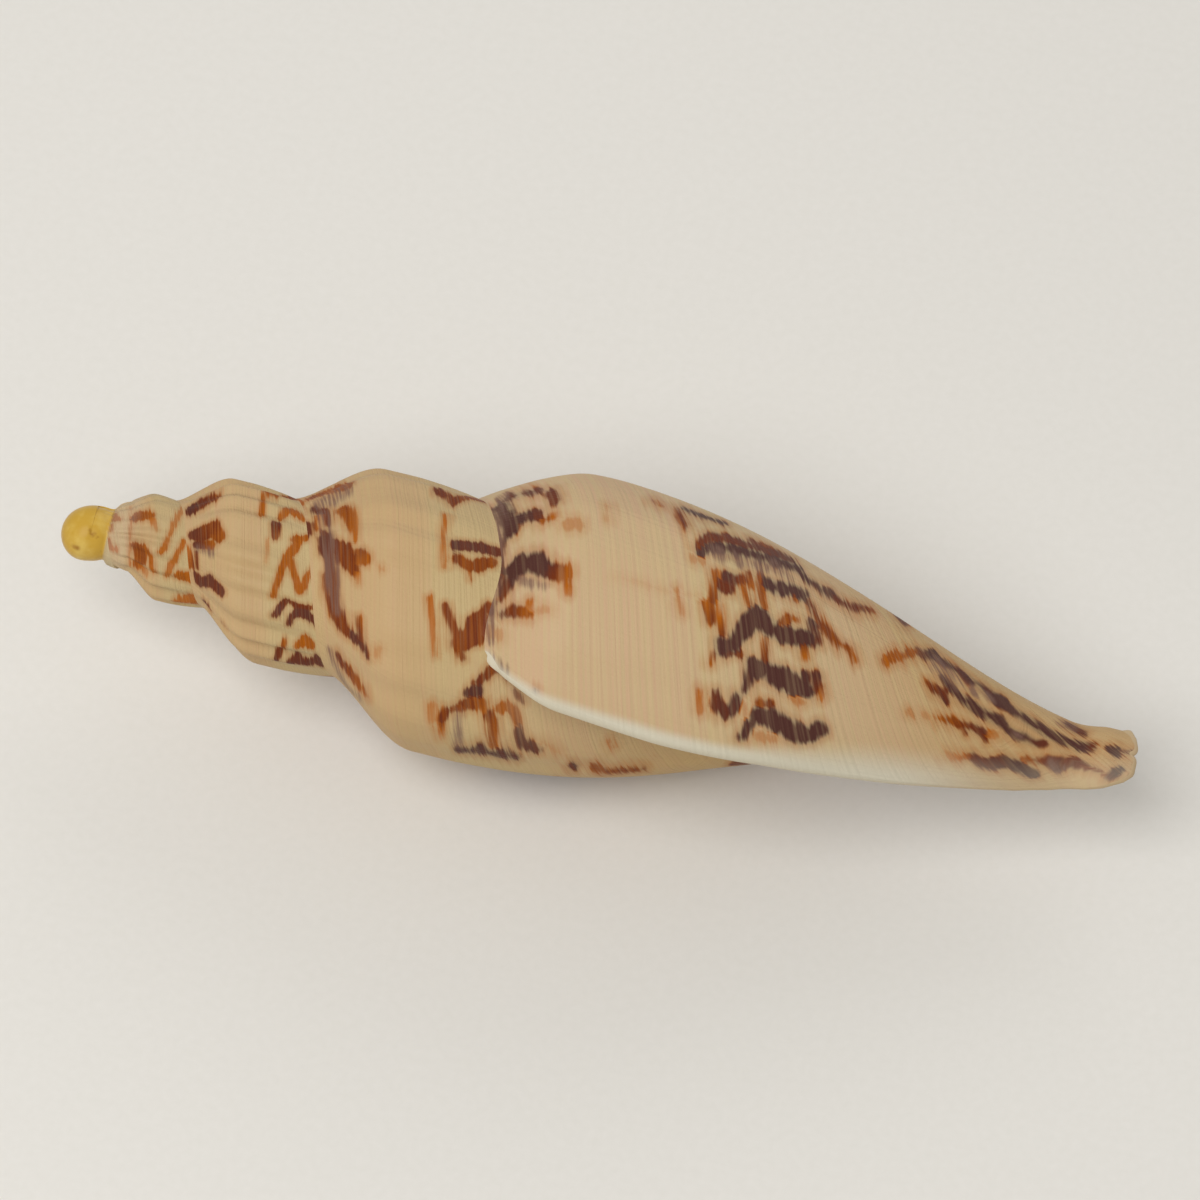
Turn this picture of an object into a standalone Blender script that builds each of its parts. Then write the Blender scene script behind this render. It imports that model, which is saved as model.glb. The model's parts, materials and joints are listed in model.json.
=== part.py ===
# A spindle shaped volute sea shell, lying on its left side on a small flat spot.
# It grew as one piece: a right handed spiral round its own axis, hollow from the mouth inwards.
# A place on it is given by three numbers. turn counts whole turns of growth, with the lip near 0.
# height runs along the axis from the apex, and radius is the distance from the axis.
# They are in millimetres here, and the mesh is in metres.

import math

import bmesh
import bpy
import numpy as np
from mathutils import Matrix, Vector

MM = 0.001

# Spiral growth
GROWTH = 1.565          # every whorl is this much taller than the one before it
SPIRAL_START = -12.0    # height that all the spirals shrink back to
SUTURE_NOW = 54.6       # height of the suture at turn 0
WIDEST_NOW = 46.0       # height of the shoulder at turn -1, which the spire repeats
BASE_NOW = 93.0         # height where the whorl has closed in on the column at turn -1
LIP_CLIMB = 2.9         # the suture climbs this far back in front of the lip
WIDEST_SERIES = (20.85, 2.6, -3.4, -1.34, -0.154)   # greatest radius as powers of the turn
CLOSING_POWER = 1.3     # above 1 keeps the belly full before it closes in
CLOSING_TAPER = 0.17    # share of the radius lost evenly on the way

# Apex cap, the rounded first shell of the young animal
CAP_RADIUS = 3.4
CAP_EDGE_RADIUS = 3.5
CAP_CENTRE = 3.2        # height
CAP_DROP = 1.35         # it sits this far off the axis, towards the mouth side
CAP_DROP_ENDS = 8.5     # height where the spire is back on the axis
LEAST_RADIUS = 3.62     # the first whorl is no slimmer than this

# Axial ribs of the spire, which fade out on the last whorl
RIBS = 18               # per turn
RIB_HEIGHT = 0.30
RIBS_FADE = (-1.55, -0.65)

# Inner column and the canal that wraps round it
COLUMN_RADIUS = 2.0
CANAL_TURNS = (-0.80, -0.65, -0.50, -0.25, 0.0, 0.15)
CANAL_RADII = (0.0, 1.25, 2.2, 2.6, 3.4, 3.6)       # how far the canal's wall stands off the column
CANAL_FLARE = 0.9
TIP_HEIGHT = 131.0
WALL = 1.3              # thickness of the wall at the lip

# Edge of the lip: its angle round the axis at some heights, measured on the photograph
LIP_HEIGHTS = (53.4, 55, 61, 68, 75, 88, 100, 108, 114, 118, 122, 126, 128, 131)
LIP_DEGREES = (13, 17.5, 21.5, 24, 26.5, 29.5, 35, 40, 44, 45, 40, 29, 19, 0)
LIP_START = LIP_DEGREES[0] / 360

# How it lies: turned about its axis from mouth down, then pitched, then pressed flat
LYING_ROLL = math.radians(60)
LYING_PITCH = math.radians(2.75)
FLAT_DEPTH = 0.3

# Fineness of the mesh
COLUMNS = 72                                   # per turn, four to a rib
BODY_STEP = 2                                  # the smooth last whorl takes every second column
SPIRE_COLUMNS = COLUMNS + 165
SPIRE_ROWS = (0, 0.13, 0.32, 0.55, 0.78, 1)    # between one suture and the next
CAP_RINGS = 4
EDGE_ROWS = 2                                  # across the thickness of the lip
BODY_ROWS = 13
HOLLOW_TURNS = 2                               # how far in from the lip the hollow reaches

SPIRE_START = LIP_START - 1 - SPIRE_COLUMNS / COLUMNS


def ease(x):
    # 0 below 0, 1 above 1, smooth between
    x = np.clip(x, 0, 1)
    return x * x * (3 - 2 * x)


def spiral_height(now, turn):
    # every height on the shell shrinks back to SPIRAL_START by the same factor per turn
    return SPIRAL_START + (now - SPIRAL_START) * GROWTH ** turn


CAP_EDGE = float(spiral_height(SUTURE_NOW, SPIRE_START + 1))


def suture_height(turn):
    climb = LIP_CLIMB * ease((turn + 0.09) / 0.123)
    return np.maximum(spiral_height(SUTURE_NOW, turn) - climb, CAP_EDGE)


def widest_radius(turn):
    return np.maximum(sum(c * turn ** k for k, c in enumerate(WIDEST_SERIES)), LEAST_RADIUS)


def widest_height(turn):
    last = 62 + 5.3 * turn - 10.7 * turn ** 2
    return np.where(turn < -1, spiral_height(WIDEST_NOW, turn + 1), last)


def base_height(turn):
    last = 131 - 2 * turn - 40 * turn ** 2
    return np.where(turn < -1, spiral_height(BASE_NOW, turn + 1), last)


def end_radius(turn, height):
    # the column thickens from the apex to the mouth and thins again along the canal
    column = COLUMN_RADIUS * np.clip((height + 20) / 120, 0.2, 1) * (1 - 0.25 * ease((height - 104) / 27))
    canal = np.interp(turn, CANAL_TURNS, CANAL_RADII)
    flare = CANAL_FLARE * ease((height - 123) / 6) * ease((turn + 0.6) / 0.3)
    return column + canal + flare


def closing(turn, height):
    # 1 at the shoulder, 0 where the whorl has closed in on the column
    way = (height - widest_height(turn)) / (base_height(turn) - widest_height(turn))
    way = np.clip(way, 0, 1)
    return 0.5 * (1 + np.cos(np.pi * way ** CLOSING_POWER)) * (1 - CLOSING_TAPER * way)


def suture_radius(turn):
    # a whorl starts on the surface of the one before it
    height = suture_height(turn)
    end = end_radius(turn - 1, height)
    radius = end + (widest_radius(turn - 1) - end) * closing(turn - 1, height)
    return np.where(turn < SPIRE_START + 1, CAP_EDGE_RADIUS, radius)


def ribs(turn, share):
    fade_in = ease((turn - SPIRE_START - 0.9) / 0.6)
    fade_out = 1 - ease((turn - RIBS_FADE[0]) / (RIBS_FADE[1] - RIBS_FADE[0]))
    wave = np.cos(2 * np.pi * RIBS * (turn - LIP_START)) - 0.7
    return RIB_HEIGHT * fade_in * fade_out * np.sin(np.pi * np.clip(share / 1.6, 0, 1)) * wave


def outline(turn, height, ribbed=True):
    # radius of the outer surface: up from the suture to the shoulder, then in to the column
    low = suture_radius(turn)
    high = widest_radius(turn)
    share = (height - suture_height(turn)) / np.maximum(widest_height(turn) - suture_height(turn), 0.3)
    share = np.maximum(share, 0)
    last = ease((turn + 0.75) / 0.5)
    first = ease((-2.6 - turn) / 0.6)
    reach = 0.70 + 0.30 * last + 0.42 * first
    power = 1.35 - 0.35 * last + 0.85 * first
    rise = np.sin(0.5 * np.pi * np.clip(share / reach, 0, 1) ** power)
    end = end_radius(turn, height)
    radius = end + (low + (high - low) * rise - end) * closing(turn, height)
    return radius + ribs(turn, share) if ribbed else radius


def lip_turn(height):
    return np.interp(height, LIP_HEIGHTS, LIP_DEGREES) / 360


def wall(turn, height):
    # thinner in the older whorls and along the canal
    return WALL * GROWTH ** (0.55 * np.minimum(turn, 0)) * (1 - 0.25 * ease((height - 105) / 20))


def place(turn, height, radius):
    # turn 0 faces -Y, and growth runs from the back (+Z) over -Y to the mouth side (-Z)
    turn, height, radius = np.broadcast_arrays(turn, height, radius)
    angle = 2 * np.pi * turn
    drop = CAP_DROP * ease((CAP_DROP_ENDS - height) / (CAP_DROP_ENDS - 1))
    return np.stack([height, -radius * np.cos(angle), -radius * np.sin(angle) - drop], axis=-1)


def hollow_ends(share):
    # first and last height where the wall stands clear of the whorl inside it
    heights = np.linspace(5, TIP_HEIGHT, 5041)
    turn = lip_turn(heights)[None, :] - 1 + share[:, None]
    gap = outline(turn, heights, False) - wall(turn, heights) - outline(turn - 1, heights, False)
    clear = (gap > 0) & (heights > suture_height(turn) + 0.2)
    first = clear.argmax(axis=1)
    past = np.arange(heights.size)[None, :] > first[:, None]
    last = (past & ~clear).argmax(axis=1)
    last[last == 0] = heights.size - 1
    return heights[first], heights[last]


class Skin:
    """Points and faces of one closed surface. Grids of point numbers are joined along shared rows."""

    def __init__(self):
        self.blocks = []
        self.count = 0
        self.faces = []

    def add(self, points):
        shape = points.shape[:-1]
        self.blocks.append(points.reshape(-1, 3))
        numbers = np.arange(self.count, self.count + self.blocks[-1].shape[0])
        self.count += numbers.size
        return numbers.reshape(shape)

    def points(self):
        return np.concatenate(self.blocks)

    def quads(self, grid, inward=False):
        corners = [grid[:-1, :-1], grid[1:, :-1], grid[1:, 1:], grid[:-1, 1:]]
        if inward:
            corners.reverse()
        self.faces += np.stack(corners, axis=-1).reshape(-1, 4).tolist()

    def strip(self, first, second):
        # triangles between two rows of different lengths, each point joined to the nearest share
        i = j = 0
        while i < len(first) - 1 or j < len(second) - 1:
            ahead = (i + 1) * (len(second) - 1) <= (j + 1) * (len(first) - 1)
            if j == len(second) - 1 or (i < len(first) - 1 and ahead):
                self.faces.append([first[i], first[i + 1], second[j]])
                i += 1
            else:
                self.faces.append([first[i], second[j + 1], second[j]])
                j += 1

    def fan(self, loop):
        self.faces += [[loop[0], loop[k], loop[k + 1]] for k in range(1, len(loop) - 1)]


def add_cap(skin):
    # a ball cut off at the suture where the first whorl starts
    grid = np.zeros((COLUMNS + 1, CAP_RINGS + 1), int)
    turns = SPIRE_START + np.arange(COLUMNS) / COLUMNS
    widest_angle = math.acos((CAP_CENTRE - CAP_EDGE) / CAP_RADIUS)
    grid[:, 0] = skin.add(place(0.0, CAP_CENTRE - CAP_RADIUS, 0.0))
    for ring in range(1, CAP_RINGS + 1):
        angle = widest_angle * ring / CAP_RINGS
        height = CAP_CENTRE - CAP_RADIUS * math.cos(angle)
        radius = CAP_RADIUS * math.sin(angle) if ring < CAP_RINGS else CAP_EDGE_RADIUS
        grid[:-1, ring] = skin.add(place(turns, height, radius))
        grid[-1, ring] = grid[0, ring]
    skin.quads(grid)
    return grid[:, -1]


def add_spire(skin, cap_rim):
    # a band between one suture and the next, as wide as nothing where it starts
    share = np.array(SPIRE_ROWS)
    turns = SPIRE_START + np.arange(SPIRE_COLUMNS + 1) / COLUMNS
    low = suture_height(turns)
    high = suture_height(turns + 1)
    heights = low[:, None] + (high - low)[:, None] * share
    radii = outline(turns[:, None], heights)
    radii[:, -1] = suture_radius(turns + 1)
    grid = np.zeros(heights.shape, int)
    grid[0] = cap_rim[0]
    grid[1:, 1:] = skin.add(place(turns[:, None], heights, radii)[1:, 1:])
    grid[1:COLUMNS, 0] = cap_rim[1:COLUMNS]
    grid[COLUMNS:, 0] = grid[:SPIRE_COLUMNS - COLUMNS + 1, -1]
    skin.quads(grid)
    return grid


def body_rows():
    # heights down the column where the last whorl starts: spire rows, the lip's thickness, the rest
    low, high = (float(suture_height(turn)) for turn in (LIP_START - 1, LIP_START))
    corner = float(hollow_ends(np.array([1.0]))[0][0])
    spire = low + (high - low) * np.array(SPIRE_ROWS)
    edge = np.linspace(high, corner, EDGE_ROWS + 1)[1:]
    rest = np.linspace(corner, TIP_HEIGHT, BODY_ROWS + 1)[1:]
    return np.concatenate([spire, edge, rest])


def add_body(skin, spire, rows):
    # the last whorl, from under the lip once round to the lip's edge, and down to the tip
    share = (rows - rows[0]) / (TIP_HEIGHT - rows[0])
    around = np.arange(0, COLUMNS + 1, BODY_STEP) / COLUMNS
    low = suture_height(LIP_START - 1 + around)
    heights = low[:, None] + (TIP_HEIGHT - low)[:, None] * share
    turns = lip_turn(heights) - 1 + around[:, None]
    points = place(turns, heights, outline(turns, heights))
    suture = spire[SPIRE_COLUMNS - COLUMNS:, -1]
    joined = len(SPIRE_ROWS)
    grid = np.zeros(heights.shape, int)
    grid[:, 0] = suture[::BODY_STEP]
    grid[0, :joined] = spire[-1]
    grid[0, joined:] = skin.add(points[0, joined:])
    grid[1:, 1:] = skin.add(points[1:, 1:])
    skin.quads(grid[:, 1:])
    skin.strip(suture, grid[:, 1])
    return grid


def add_hollow(skin, body, rows):
    # the outer wall's inner face, and the older whorl and the column that it faces
    corner = len(SPIRE_ROWS) - 1 + EDGE_ROWS
    outer_share = (rows - rows[0]) / (TIP_HEIGHT - rows[0])
    inner_share = (rows[corner:] - rows[corner]) / (TIP_HEIGHT - rows[corner])
    around = np.arange((1 - HOLLOW_TURNS) * COLUMNS, COLUMNS + 1, BODY_STEP) / COLUMNS
    low, high = hollow_ends(around)
    closed = int((high >= TIP_HEIGHT - 1e-9).argmax()) - 1    # last column before the canal opens
    high[closed] = TIP_HEIGHT

    heights = low[:, None] + (high - low)[:, None] * inner_share
    turns = lip_turn(heights) - 2 + around[:, None]
    inner = np.zeros(heights.shape, int)
    inner[:-1] = skin.add(place(turns, heights, outline(turns, heights))[:-1])
    inner[-1] = body[0, corner:]

    heights = low[:, None] + (high - low)[:, None] * outer_share
    turns = lip_turn(heights) - 1 + around[:, None]
    points = place(turns, heights, outline(turns, heights) - wall(turns, heights))
    outer = np.zeros(heights.shape, int)
    outer[:, 0] = inner[:, 0]
    outer[:, 1:-1] = skin.add(points[:, 1:-1])
    outer[:closed + 1, -1] = inner[:closed + 1, -1]
    outer[closed + 1:, -1] = skin.add(points[closed + 1:, -1])

    skin.quads(outer, inward=True)
    skin.quads(inner)
    skin.strip(inner[0], outer[0])
    return outer, inner, closed


def add_edge(skin, body, outer, inner, closed):
    # the rounded edge down the lip and back round the end of the canal, then the column's end
    opening = len(outer) - 1 - closed                  # columns from the canal's start to the lip
    start = len(body) - 1 - opening
    outside = np.concatenate([body[-1], body[start:-1, -1][::-1]])
    inside = np.concatenate([outer[-1], outer[closed:-1, -1][::-1]])
    points = skin.points()
    across = points[inside] - points[outside]
    along = np.gradient((points[inside] + points[outside]) / 2, axis=0)
    out = np.cross(across, along)
    out *= np.linalg.norm(across, axis=1, keepdims=True) / np.linalg.norm(out, axis=1, keepdims=True)
    grid = np.zeros((outside.size, EDGE_ROWS + 1), int)
    grid[:, 0] = outside
    grid[:, -1] = inside
    for row in range(1, EDGE_ROWS):
        share = row / EDGE_ROWS
        bulge = points[outside] + across * share + out * 0.5 * math.sin(math.pi * share)
        grid[1:, row] = skin.add(bulge[1:])
        grid[0, row] = body[0, len(SPIRE_ROWS) - 1 + row]
    skin.quads(grid, inward=True)
    skin.fan([*inner[closed:, -1], *body[1:start + 1, -1], *grid[-1, 1:-1]])


def build_skin():
    skin = Skin()
    spire = add_spire(skin, add_cap(skin))
    rows = body_rows()
    body = add_body(skin, spire, rows)
    outer, inner, closed = add_hollow(skin, body, rows)
    add_edge(skin, body, outer, inner, closed)
    return skin


def lay_down(mesh):
    # turn the shell as it lies, press its lowest point flat, and centre it over the origin
    turned = Matrix.Rotation(LYING_PITCH, 4, "Y") @ Matrix.Rotation(-LYING_ROLL, 4, "X")
    mesh.transform(turned)
    floor = min(vert.co.z for vert in mesh.verts) + FLAT_DEPTH * MM
    bmesh.ops.bisect_plane(
        mesh, geom=[*mesh.verts, *mesh.edges, *mesh.faces], dist=1e-7,
        plane_co=(0, 0, floor), plane_no=(0, 0, 1), clear_inner=True,
    )
    rim = [edge for edge in mesh.edges if edge.is_boundary]
    bmesh.ops.contextual_create(mesh, geom=rim)
    low = Vector([min(vert.co[k] for vert in mesh.verts) for k in range(3)])
    high = Vector([max(vert.co[k] for vert in mesh.verts) for k in range(3)])
    bmesh.ops.translate(mesh, verts=mesh.verts, vec=(-(low.x + high.x) / 2, -(low.y + high.y) / 2, -low.z))


def shell_material():
    material = bpy.data.materials.new("shell_lime")
    material.use_nodes = True
    surface = material.node_tree.nodes["Principled BSDF"]
    surface.inputs["Base Color"].default_value = (0.57, 0.37, 0.20, 1)
    surface.inputs["Roughness"].default_value = 0.4
    surface.inputs["Metallic"].default_value = 0
    return material


def make_shell():
    skin = build_skin()
    mesh = bmesh.new()
    verts = [mesh.verts.new(point) for point in (skin.points() * MM).tolist()]
    for face in skin.faces:
        corners = list(dict.fromkeys(face))
        if len(corners) > 2:
            mesh.faces.new([verts[k] for k in corners])
    lay_down(mesh)
    data = bpy.data.meshes.new("shell")
    mesh.to_mesh(data)
    mesh.free()
    data.materials.append(shell_material())
    data.shade_smooth()
    data.set_sharp_from_angle(angle=math.radians(50))
    shell = bpy.data.objects.new("shell", data)
    bpy.context.collection.objects.link(shell)


for old in list(bpy.data.objects):
    bpy.data.objects.remove(old, do_unlink=True)

make_shell()
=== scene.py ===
# A volute sea shell lying on its side, as the photograph shows it from the lip side.
# The shell is one skin worked out from its growth: a place on it is a turn of growth, with the lip
# near 0, and a height along the axis from the apex, in millimetres.

import json
import math

import bpy
import numpy as np
from mathutils import Matrix, Vector

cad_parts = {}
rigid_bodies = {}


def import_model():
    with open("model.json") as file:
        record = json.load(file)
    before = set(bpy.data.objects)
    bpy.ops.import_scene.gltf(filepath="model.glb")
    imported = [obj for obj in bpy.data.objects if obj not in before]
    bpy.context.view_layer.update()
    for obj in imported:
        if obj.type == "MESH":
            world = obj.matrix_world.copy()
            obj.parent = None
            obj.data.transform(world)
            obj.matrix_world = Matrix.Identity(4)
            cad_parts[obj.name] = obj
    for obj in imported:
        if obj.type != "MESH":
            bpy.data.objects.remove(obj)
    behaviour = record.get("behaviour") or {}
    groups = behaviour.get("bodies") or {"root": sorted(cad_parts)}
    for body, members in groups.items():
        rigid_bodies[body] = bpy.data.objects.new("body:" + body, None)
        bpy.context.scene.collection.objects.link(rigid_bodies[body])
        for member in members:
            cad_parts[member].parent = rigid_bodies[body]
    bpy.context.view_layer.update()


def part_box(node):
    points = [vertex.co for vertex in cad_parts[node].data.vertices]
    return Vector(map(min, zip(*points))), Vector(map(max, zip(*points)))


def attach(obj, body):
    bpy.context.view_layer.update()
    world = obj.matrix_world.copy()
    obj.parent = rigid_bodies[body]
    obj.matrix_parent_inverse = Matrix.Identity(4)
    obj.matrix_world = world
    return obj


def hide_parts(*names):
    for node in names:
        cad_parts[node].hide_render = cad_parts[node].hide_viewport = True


for old in list(bpy.data.objects):
    bpy.data.objects.remove(old)

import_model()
mm = 0.001

# Growth of the shell, in mm and turns. An eased step has two numbers: where it starts, how long it is.

growth = {
    "rate": 1.565,            # each whorl is this much taller than the last
    "origin": -12.0,          # height that every spiral shrinks back to
    "sutureNow": 54.6,        # heights at turn 0 (suture) and turn -1 (shoulder, base)
    "shoulderNow": 46.0,
    "baseNow": 93.0,
    "lastShoulder": (62, 5.3, -10.7),              # heights on the last whorl, as powers of the turn
    "lastBase": (131, -2, -40),
    "spireTurns": 237 / 72,   # from the cap to the last whorl, ending on a column of the skin
    "lipClimb": 2.9,          # the suture climbs back this far at the lip
    "climb": (-0.09, 0.123),
    "widest": (20.85, 2.6, -3.4, -1.34, -0.154),   # greatest radius, as powers of the turn
    "leastRadius": 3.62,
    "shoulderDip": (0.7, -0.25, 0.13, 55.5, 5.0),  # mm deep, round this turn and height, each with a width
    "closingPower": 1.3,      # how the whorl draws in from the shoulder to the column
    "closingTaper": 0.17,
    "tip": 131.0,
    "wall": 1.3,              # thickness at the lip
    "wallPower": 0.55,        # power of the rate by which older wall is thinner
    "wallThinning": 0.25,     # share of it that the canal lacks
    "wallThins": (105, 20),
    # the lip's edge: degrees past turn 0 at these heights
    "lipHeights": (53.4, 55, 61, 68, 75, 88, 100, 108, 114, 118, 122, 126, 128, 129.2, 130.2, 131),
    "lipDegrees": (13, 17.5, 21.5, 24, 26.5, 29.5, 35, 40, 44, 45, 40, 28, 19.5, 12, 6, -3),
}
lipStart = growth["lipDegrees"][0] / 360

riseShape = {
    "lastWhorl": (-0.75, 0.5),
    "firstWhorls": (2.6, 0.6),      # turns back from the lip
    "reach": (0.70, 0.30, 0.42),    # share of the way to the shoulder, more on the last and first whorls
    "power": (1.35, -0.35, 0.85),
    "least": 1.4,                   # mm from the suture to the shoulder
}

capShape = {
    "radius": 3.4,
    "rim": 3.4,                     # radius where the first whorl starts
    "centre": 3.2,
    "drop": 1.35,                   # the cap hangs this far below the axis
    "dropWhole": 1.0,               # heights where that is whole, and where it ends
    "dropEnds": 11.0,
    "seam": 5.5,
    "seamDepth": 0.5,
    "seamWidths": (1.0, 0.35),      # before it and after it
    "seamBlur": 0.3,
    "smudge": (0.103, 2.16, 0.45),  # turn, height and width of a brown smudge
    "neck": 7.6,
    "neckSwell": 0.75,
    "neckWidth": 1.4,
    "neckPale": 0.2,
    "paleEnds": (7.5, 2),
    "lineTurns": (-3.45, -3.3, -2.7, -2.55),       # a fine suture behind the neck
    "lineHeights": (6.5, 7.0, 9.15, 9.7),
    "lineShown": (0, 1, 1, 0),
    "lineDepth": 0.14,
    "lineWidth": 0.22,
    "ends": (-2.85, 0.2),
}

ribShape = {
    "perTurn": 18,
    "height": 0.36,
    "start": (0.9, 0.6),      # turns after the spire's first
    "fade": (-1.55, 0.9),
    "level": 0.7,             # narrow ribs between wide troughs
    "reach": 1.6,             # of the way from suture to shoulder
    "wander": 0.10,           # of a rib's own width, so that no two are quite alike
    "late": ((1, 23.1, 0, 0), (1, 41.7, 0, 1)),    # waves: size, rate, rate along the share, phase
    "high": ((0.22, 33.3, 0, 0), (0.12, 71.1, 1, 0)),
}

relief = {
    "growthWaves": 0.09,      # mm, slow unevenness from one season's growth to the next
    "waves": ((1, 52.0, 1.3, 0), (0.7, 83.0, 0, 2), (0.5, 131.0, 1, 0)),
    "waveShare": (0, 0.5),
    "waveTurns": (-1.6, 0.8),
    "plaits": 5,              # oblique folds on the inner column
    "plaitHeight": 0.45,
    "plaitPitch": 3.4,
    "plaitFrom": 72.0,
    "plaitSlant": 20,         # mm down in a turn
    "plaitNear": (0.02, 0.12),
    "plaitEnds": (-0.80, 0.12),
}

columnShape = {
    "radius": 2.0,
    "taper": (-20, 120),      # its radius grows in proportion to the height, from here over so much
    "leastTaper": 0.2,
    "thinning": 0.25,
    "thins": (104, 27),
    "canalTurns": (-0.80, -0.65, -0.50, -0.25, 0.0, 0.15),
    "canalRadii": (0.0, 1.25, 2.2, 2.6, 3.4, 3.6),
    "flare": 0.9,
    "flareHeights": (123, 6),
    "flareTurns": (-0.6, 0.3),
}

canalEnd = {
    "from": 122.0,            # height where the end starts to round off
    "below": (-5.6, -5.1, -4.6, -3.7, -2.2, -0.8, 0.1, 1.0, 1.5, 2.4, 4.0),       # mm to the mouth side
    "reaches": (127.8, 129.0, 130.1, 130.8, 131, 131, 130.5, 129.5, 128.3, 127.3, 126.3),
    "pastTurn": -0.3,         # from here on it is the side away from the mouth
    "pastBelow": -0.8,
    "notchTurn": -0.078,
    "notchWidth": 0.014,
    "notchDepth": 0.6,
}

lying = {"roll": 60.0, "pitch": 2.75}   # degrees: turned about its axis from mouth down, then pitched

fineness = {
    "whorls": 5,              # turns of columns, more than the shell needs
    "columns": 240,           # per turn
    "crowding": 2.1,          # so many more columns on the side that the photograph shows
    "crowdEnds": (0.20, 0.06),
    "crowdStarts": (0.66, 0.06),
    "spireRows": 38,
    "capRings": 10,
    "edgeRows": 8,
    "bodyRows": 144,
    "hollowTurns": 1.5,
    "hollowStep": 4,          # the inside takes every fourth column and every second row
    "searchFrom": 5,          # heights tried for the ends of the hollow
    "searchSteps": 5041,
    "clearance": 0.2,         # mm
    "sharpAngle": 48,         # degrees, a fold sharper than this is shaded as an edge
}


def easeStep(x, start=0, length=1):
    # 0 before the start, 1 past the length, 3x^2 - 2x^3 between
    x = np.clip((x - start) / length, 0, 1)
    return x * x * (3 - 2 * x)


def powers(factors, turn):
    # a + b * turn + c * turn^2 and so on
    return sum(factor * turn ** k for k, factor in enumerate(factors))


def waves(rows, turn, share=0):
    # the sum of size * sin(rate * turn + along * share + phase)
    return sum(size * np.sin(turn * rate + along * share + phase) for size, rate, along, phase in rows)


def spiralHeight(now, turn):
    # origin + (now - origin) * rate^turn
    return growth["origin"] + (now - growth["origin"]) * growth["rate"] ** turn


def nowHeight(turn, height):
    # the height that a place would have, had it grown at turn 0
    return growth["origin"] + (height - growth["origin"]) / growth["rate"] ** turn


def runningSum(values, at):
    # the area under the values up to each place, by trapezoids
    return np.concatenate([[0], np.cumsum((values[1:] + values[:-1]) / 2 * np.diff(at))])


# Columns of the skin in one turn, two out of three of them on the side that the photograph shows
phase = np.linspace(0, 1, 2001)
shown = 1 - easeStep(phase, *fineness["crowdEnds"]) + easeStep(phase, *fineness["crowdStarts"])
crowded = runningSum(1 + fineness["crowding"] * shown, phase)
columnShare = np.interp(np.linspace(0, 1, fineness["columns"] + 1), crowded / crowded[-1], phase)
whorlStarts = lipStart - fineness["whorls"] + np.arange(fineness["whorls"])
columnTurns = np.append((whorlStarts[:, None] + columnShare[:-1]).ravel(), lipStart)
spireFirst = int(np.argmin(abs(columnTurns - (lipStart - 1 - growth["spireTurns"]))))
bodyFirst = (fineness["whorls"] - 1) * fineness["columns"]
spireStart = float(columnTurns[spireFirst])
capEdge = float(spiralHeight(growth["sutureNow"], spireStart + 1))


def sutureHeight(turn):
    # the spiral less the climb at the lip, and no lower than the rim of the cap
    climb = growth["lipClimb"] * easeStep(turn, *growth["climb"])
    return np.maximum(spiralHeight(growth["sutureNow"], turn) - climb, capEdge)


def widestRadius(turn):
    # powers of the turn, and no less than the first whorl's radius
    return np.maximum(powers(growth["widest"], turn), growth["leastRadius"])


def widestHeight(turn):
    # the shoulder: a spiral, and powers of the turn on the last whorl
    return np.where(turn < -1, spiralHeight(growth["shoulderNow"], turn + 1),
                    powers(growth["lastShoulder"], turn))


def baseHeight(turn):
    # where the whorl meets the column: a spiral, and powers of the turn on the last whorl
    return np.where(turn < -1, spiralHeight(growth["baseNow"], turn + 1), powers(growth["lastBase"], turn))


def endRadius(turn, height):
    # inner column + the canal's wall + the flare at the canal's end
    start, length = columnShape["taper"]
    taper = np.clip((height - start) / length, columnShape["leastTaper"], 1)
    taper = taper * (1 - columnShape["thinning"] * easeStep(height, *columnShape["thins"]))
    canal = np.interp(turn, columnShape["canalTurns"], columnShape["canalRadii"])
    flare = easeStep(height, *columnShape["flareHeights"]) * easeStep(turn, *columnShape["flareTurns"])
    return columnShape["radius"] * taper + canal + columnShape["flare"] * flare


def closing(turn, height):
    # (1 + cos(pi * way^power)) / 2 * (1 - taper * way), 1 at the shoulder and 0 at the column
    way = (height - widestHeight(turn)) / (baseHeight(turn) - widestHeight(turn))
    way = np.clip(way, 0, 1)
    return 0.5 * (1 + np.cos(np.pi * way ** growth["closingPower"])) * (1 - growth["closingTaper"] * way)


def shareUp(turn, height):
    # 0 at the suture, 1 at the shoulder
    low = sutureHeight(turn)
    return np.maximum((height - low) / np.maximum(widestHeight(turn) - low, riseShape["least"]), 0)


def rising(turn, share):
    # sin(pi/2 * (share / reach)^power)
    last = easeStep(turn, *riseShape["lastWhorl"])
    first = easeStep(-turn, *riseShape["firstWhorls"])
    reach, power = (usual + late * last + early * first
                    for usual, late, early in (riseShape["reach"], riseShape["power"]))
    return np.sin(0.5 * np.pi * np.clip(share / reach, 0, 1) ** power)


def sutureRadius(turn):
    # what the whorl before has there; the first one starts from the rim of the cap
    height = sutureHeight(turn)
    end = endRadius(turn - 1, height)
    rim = capShape["rim"]
    wide = rim + (widestRadius(turn - 1) - rim) * rising(turn - 1, shareUp(turn - 1, height))
    return np.where(turn < spireStart + 1, rim, end + (wide - end) * closing(turn - 1, height))


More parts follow.
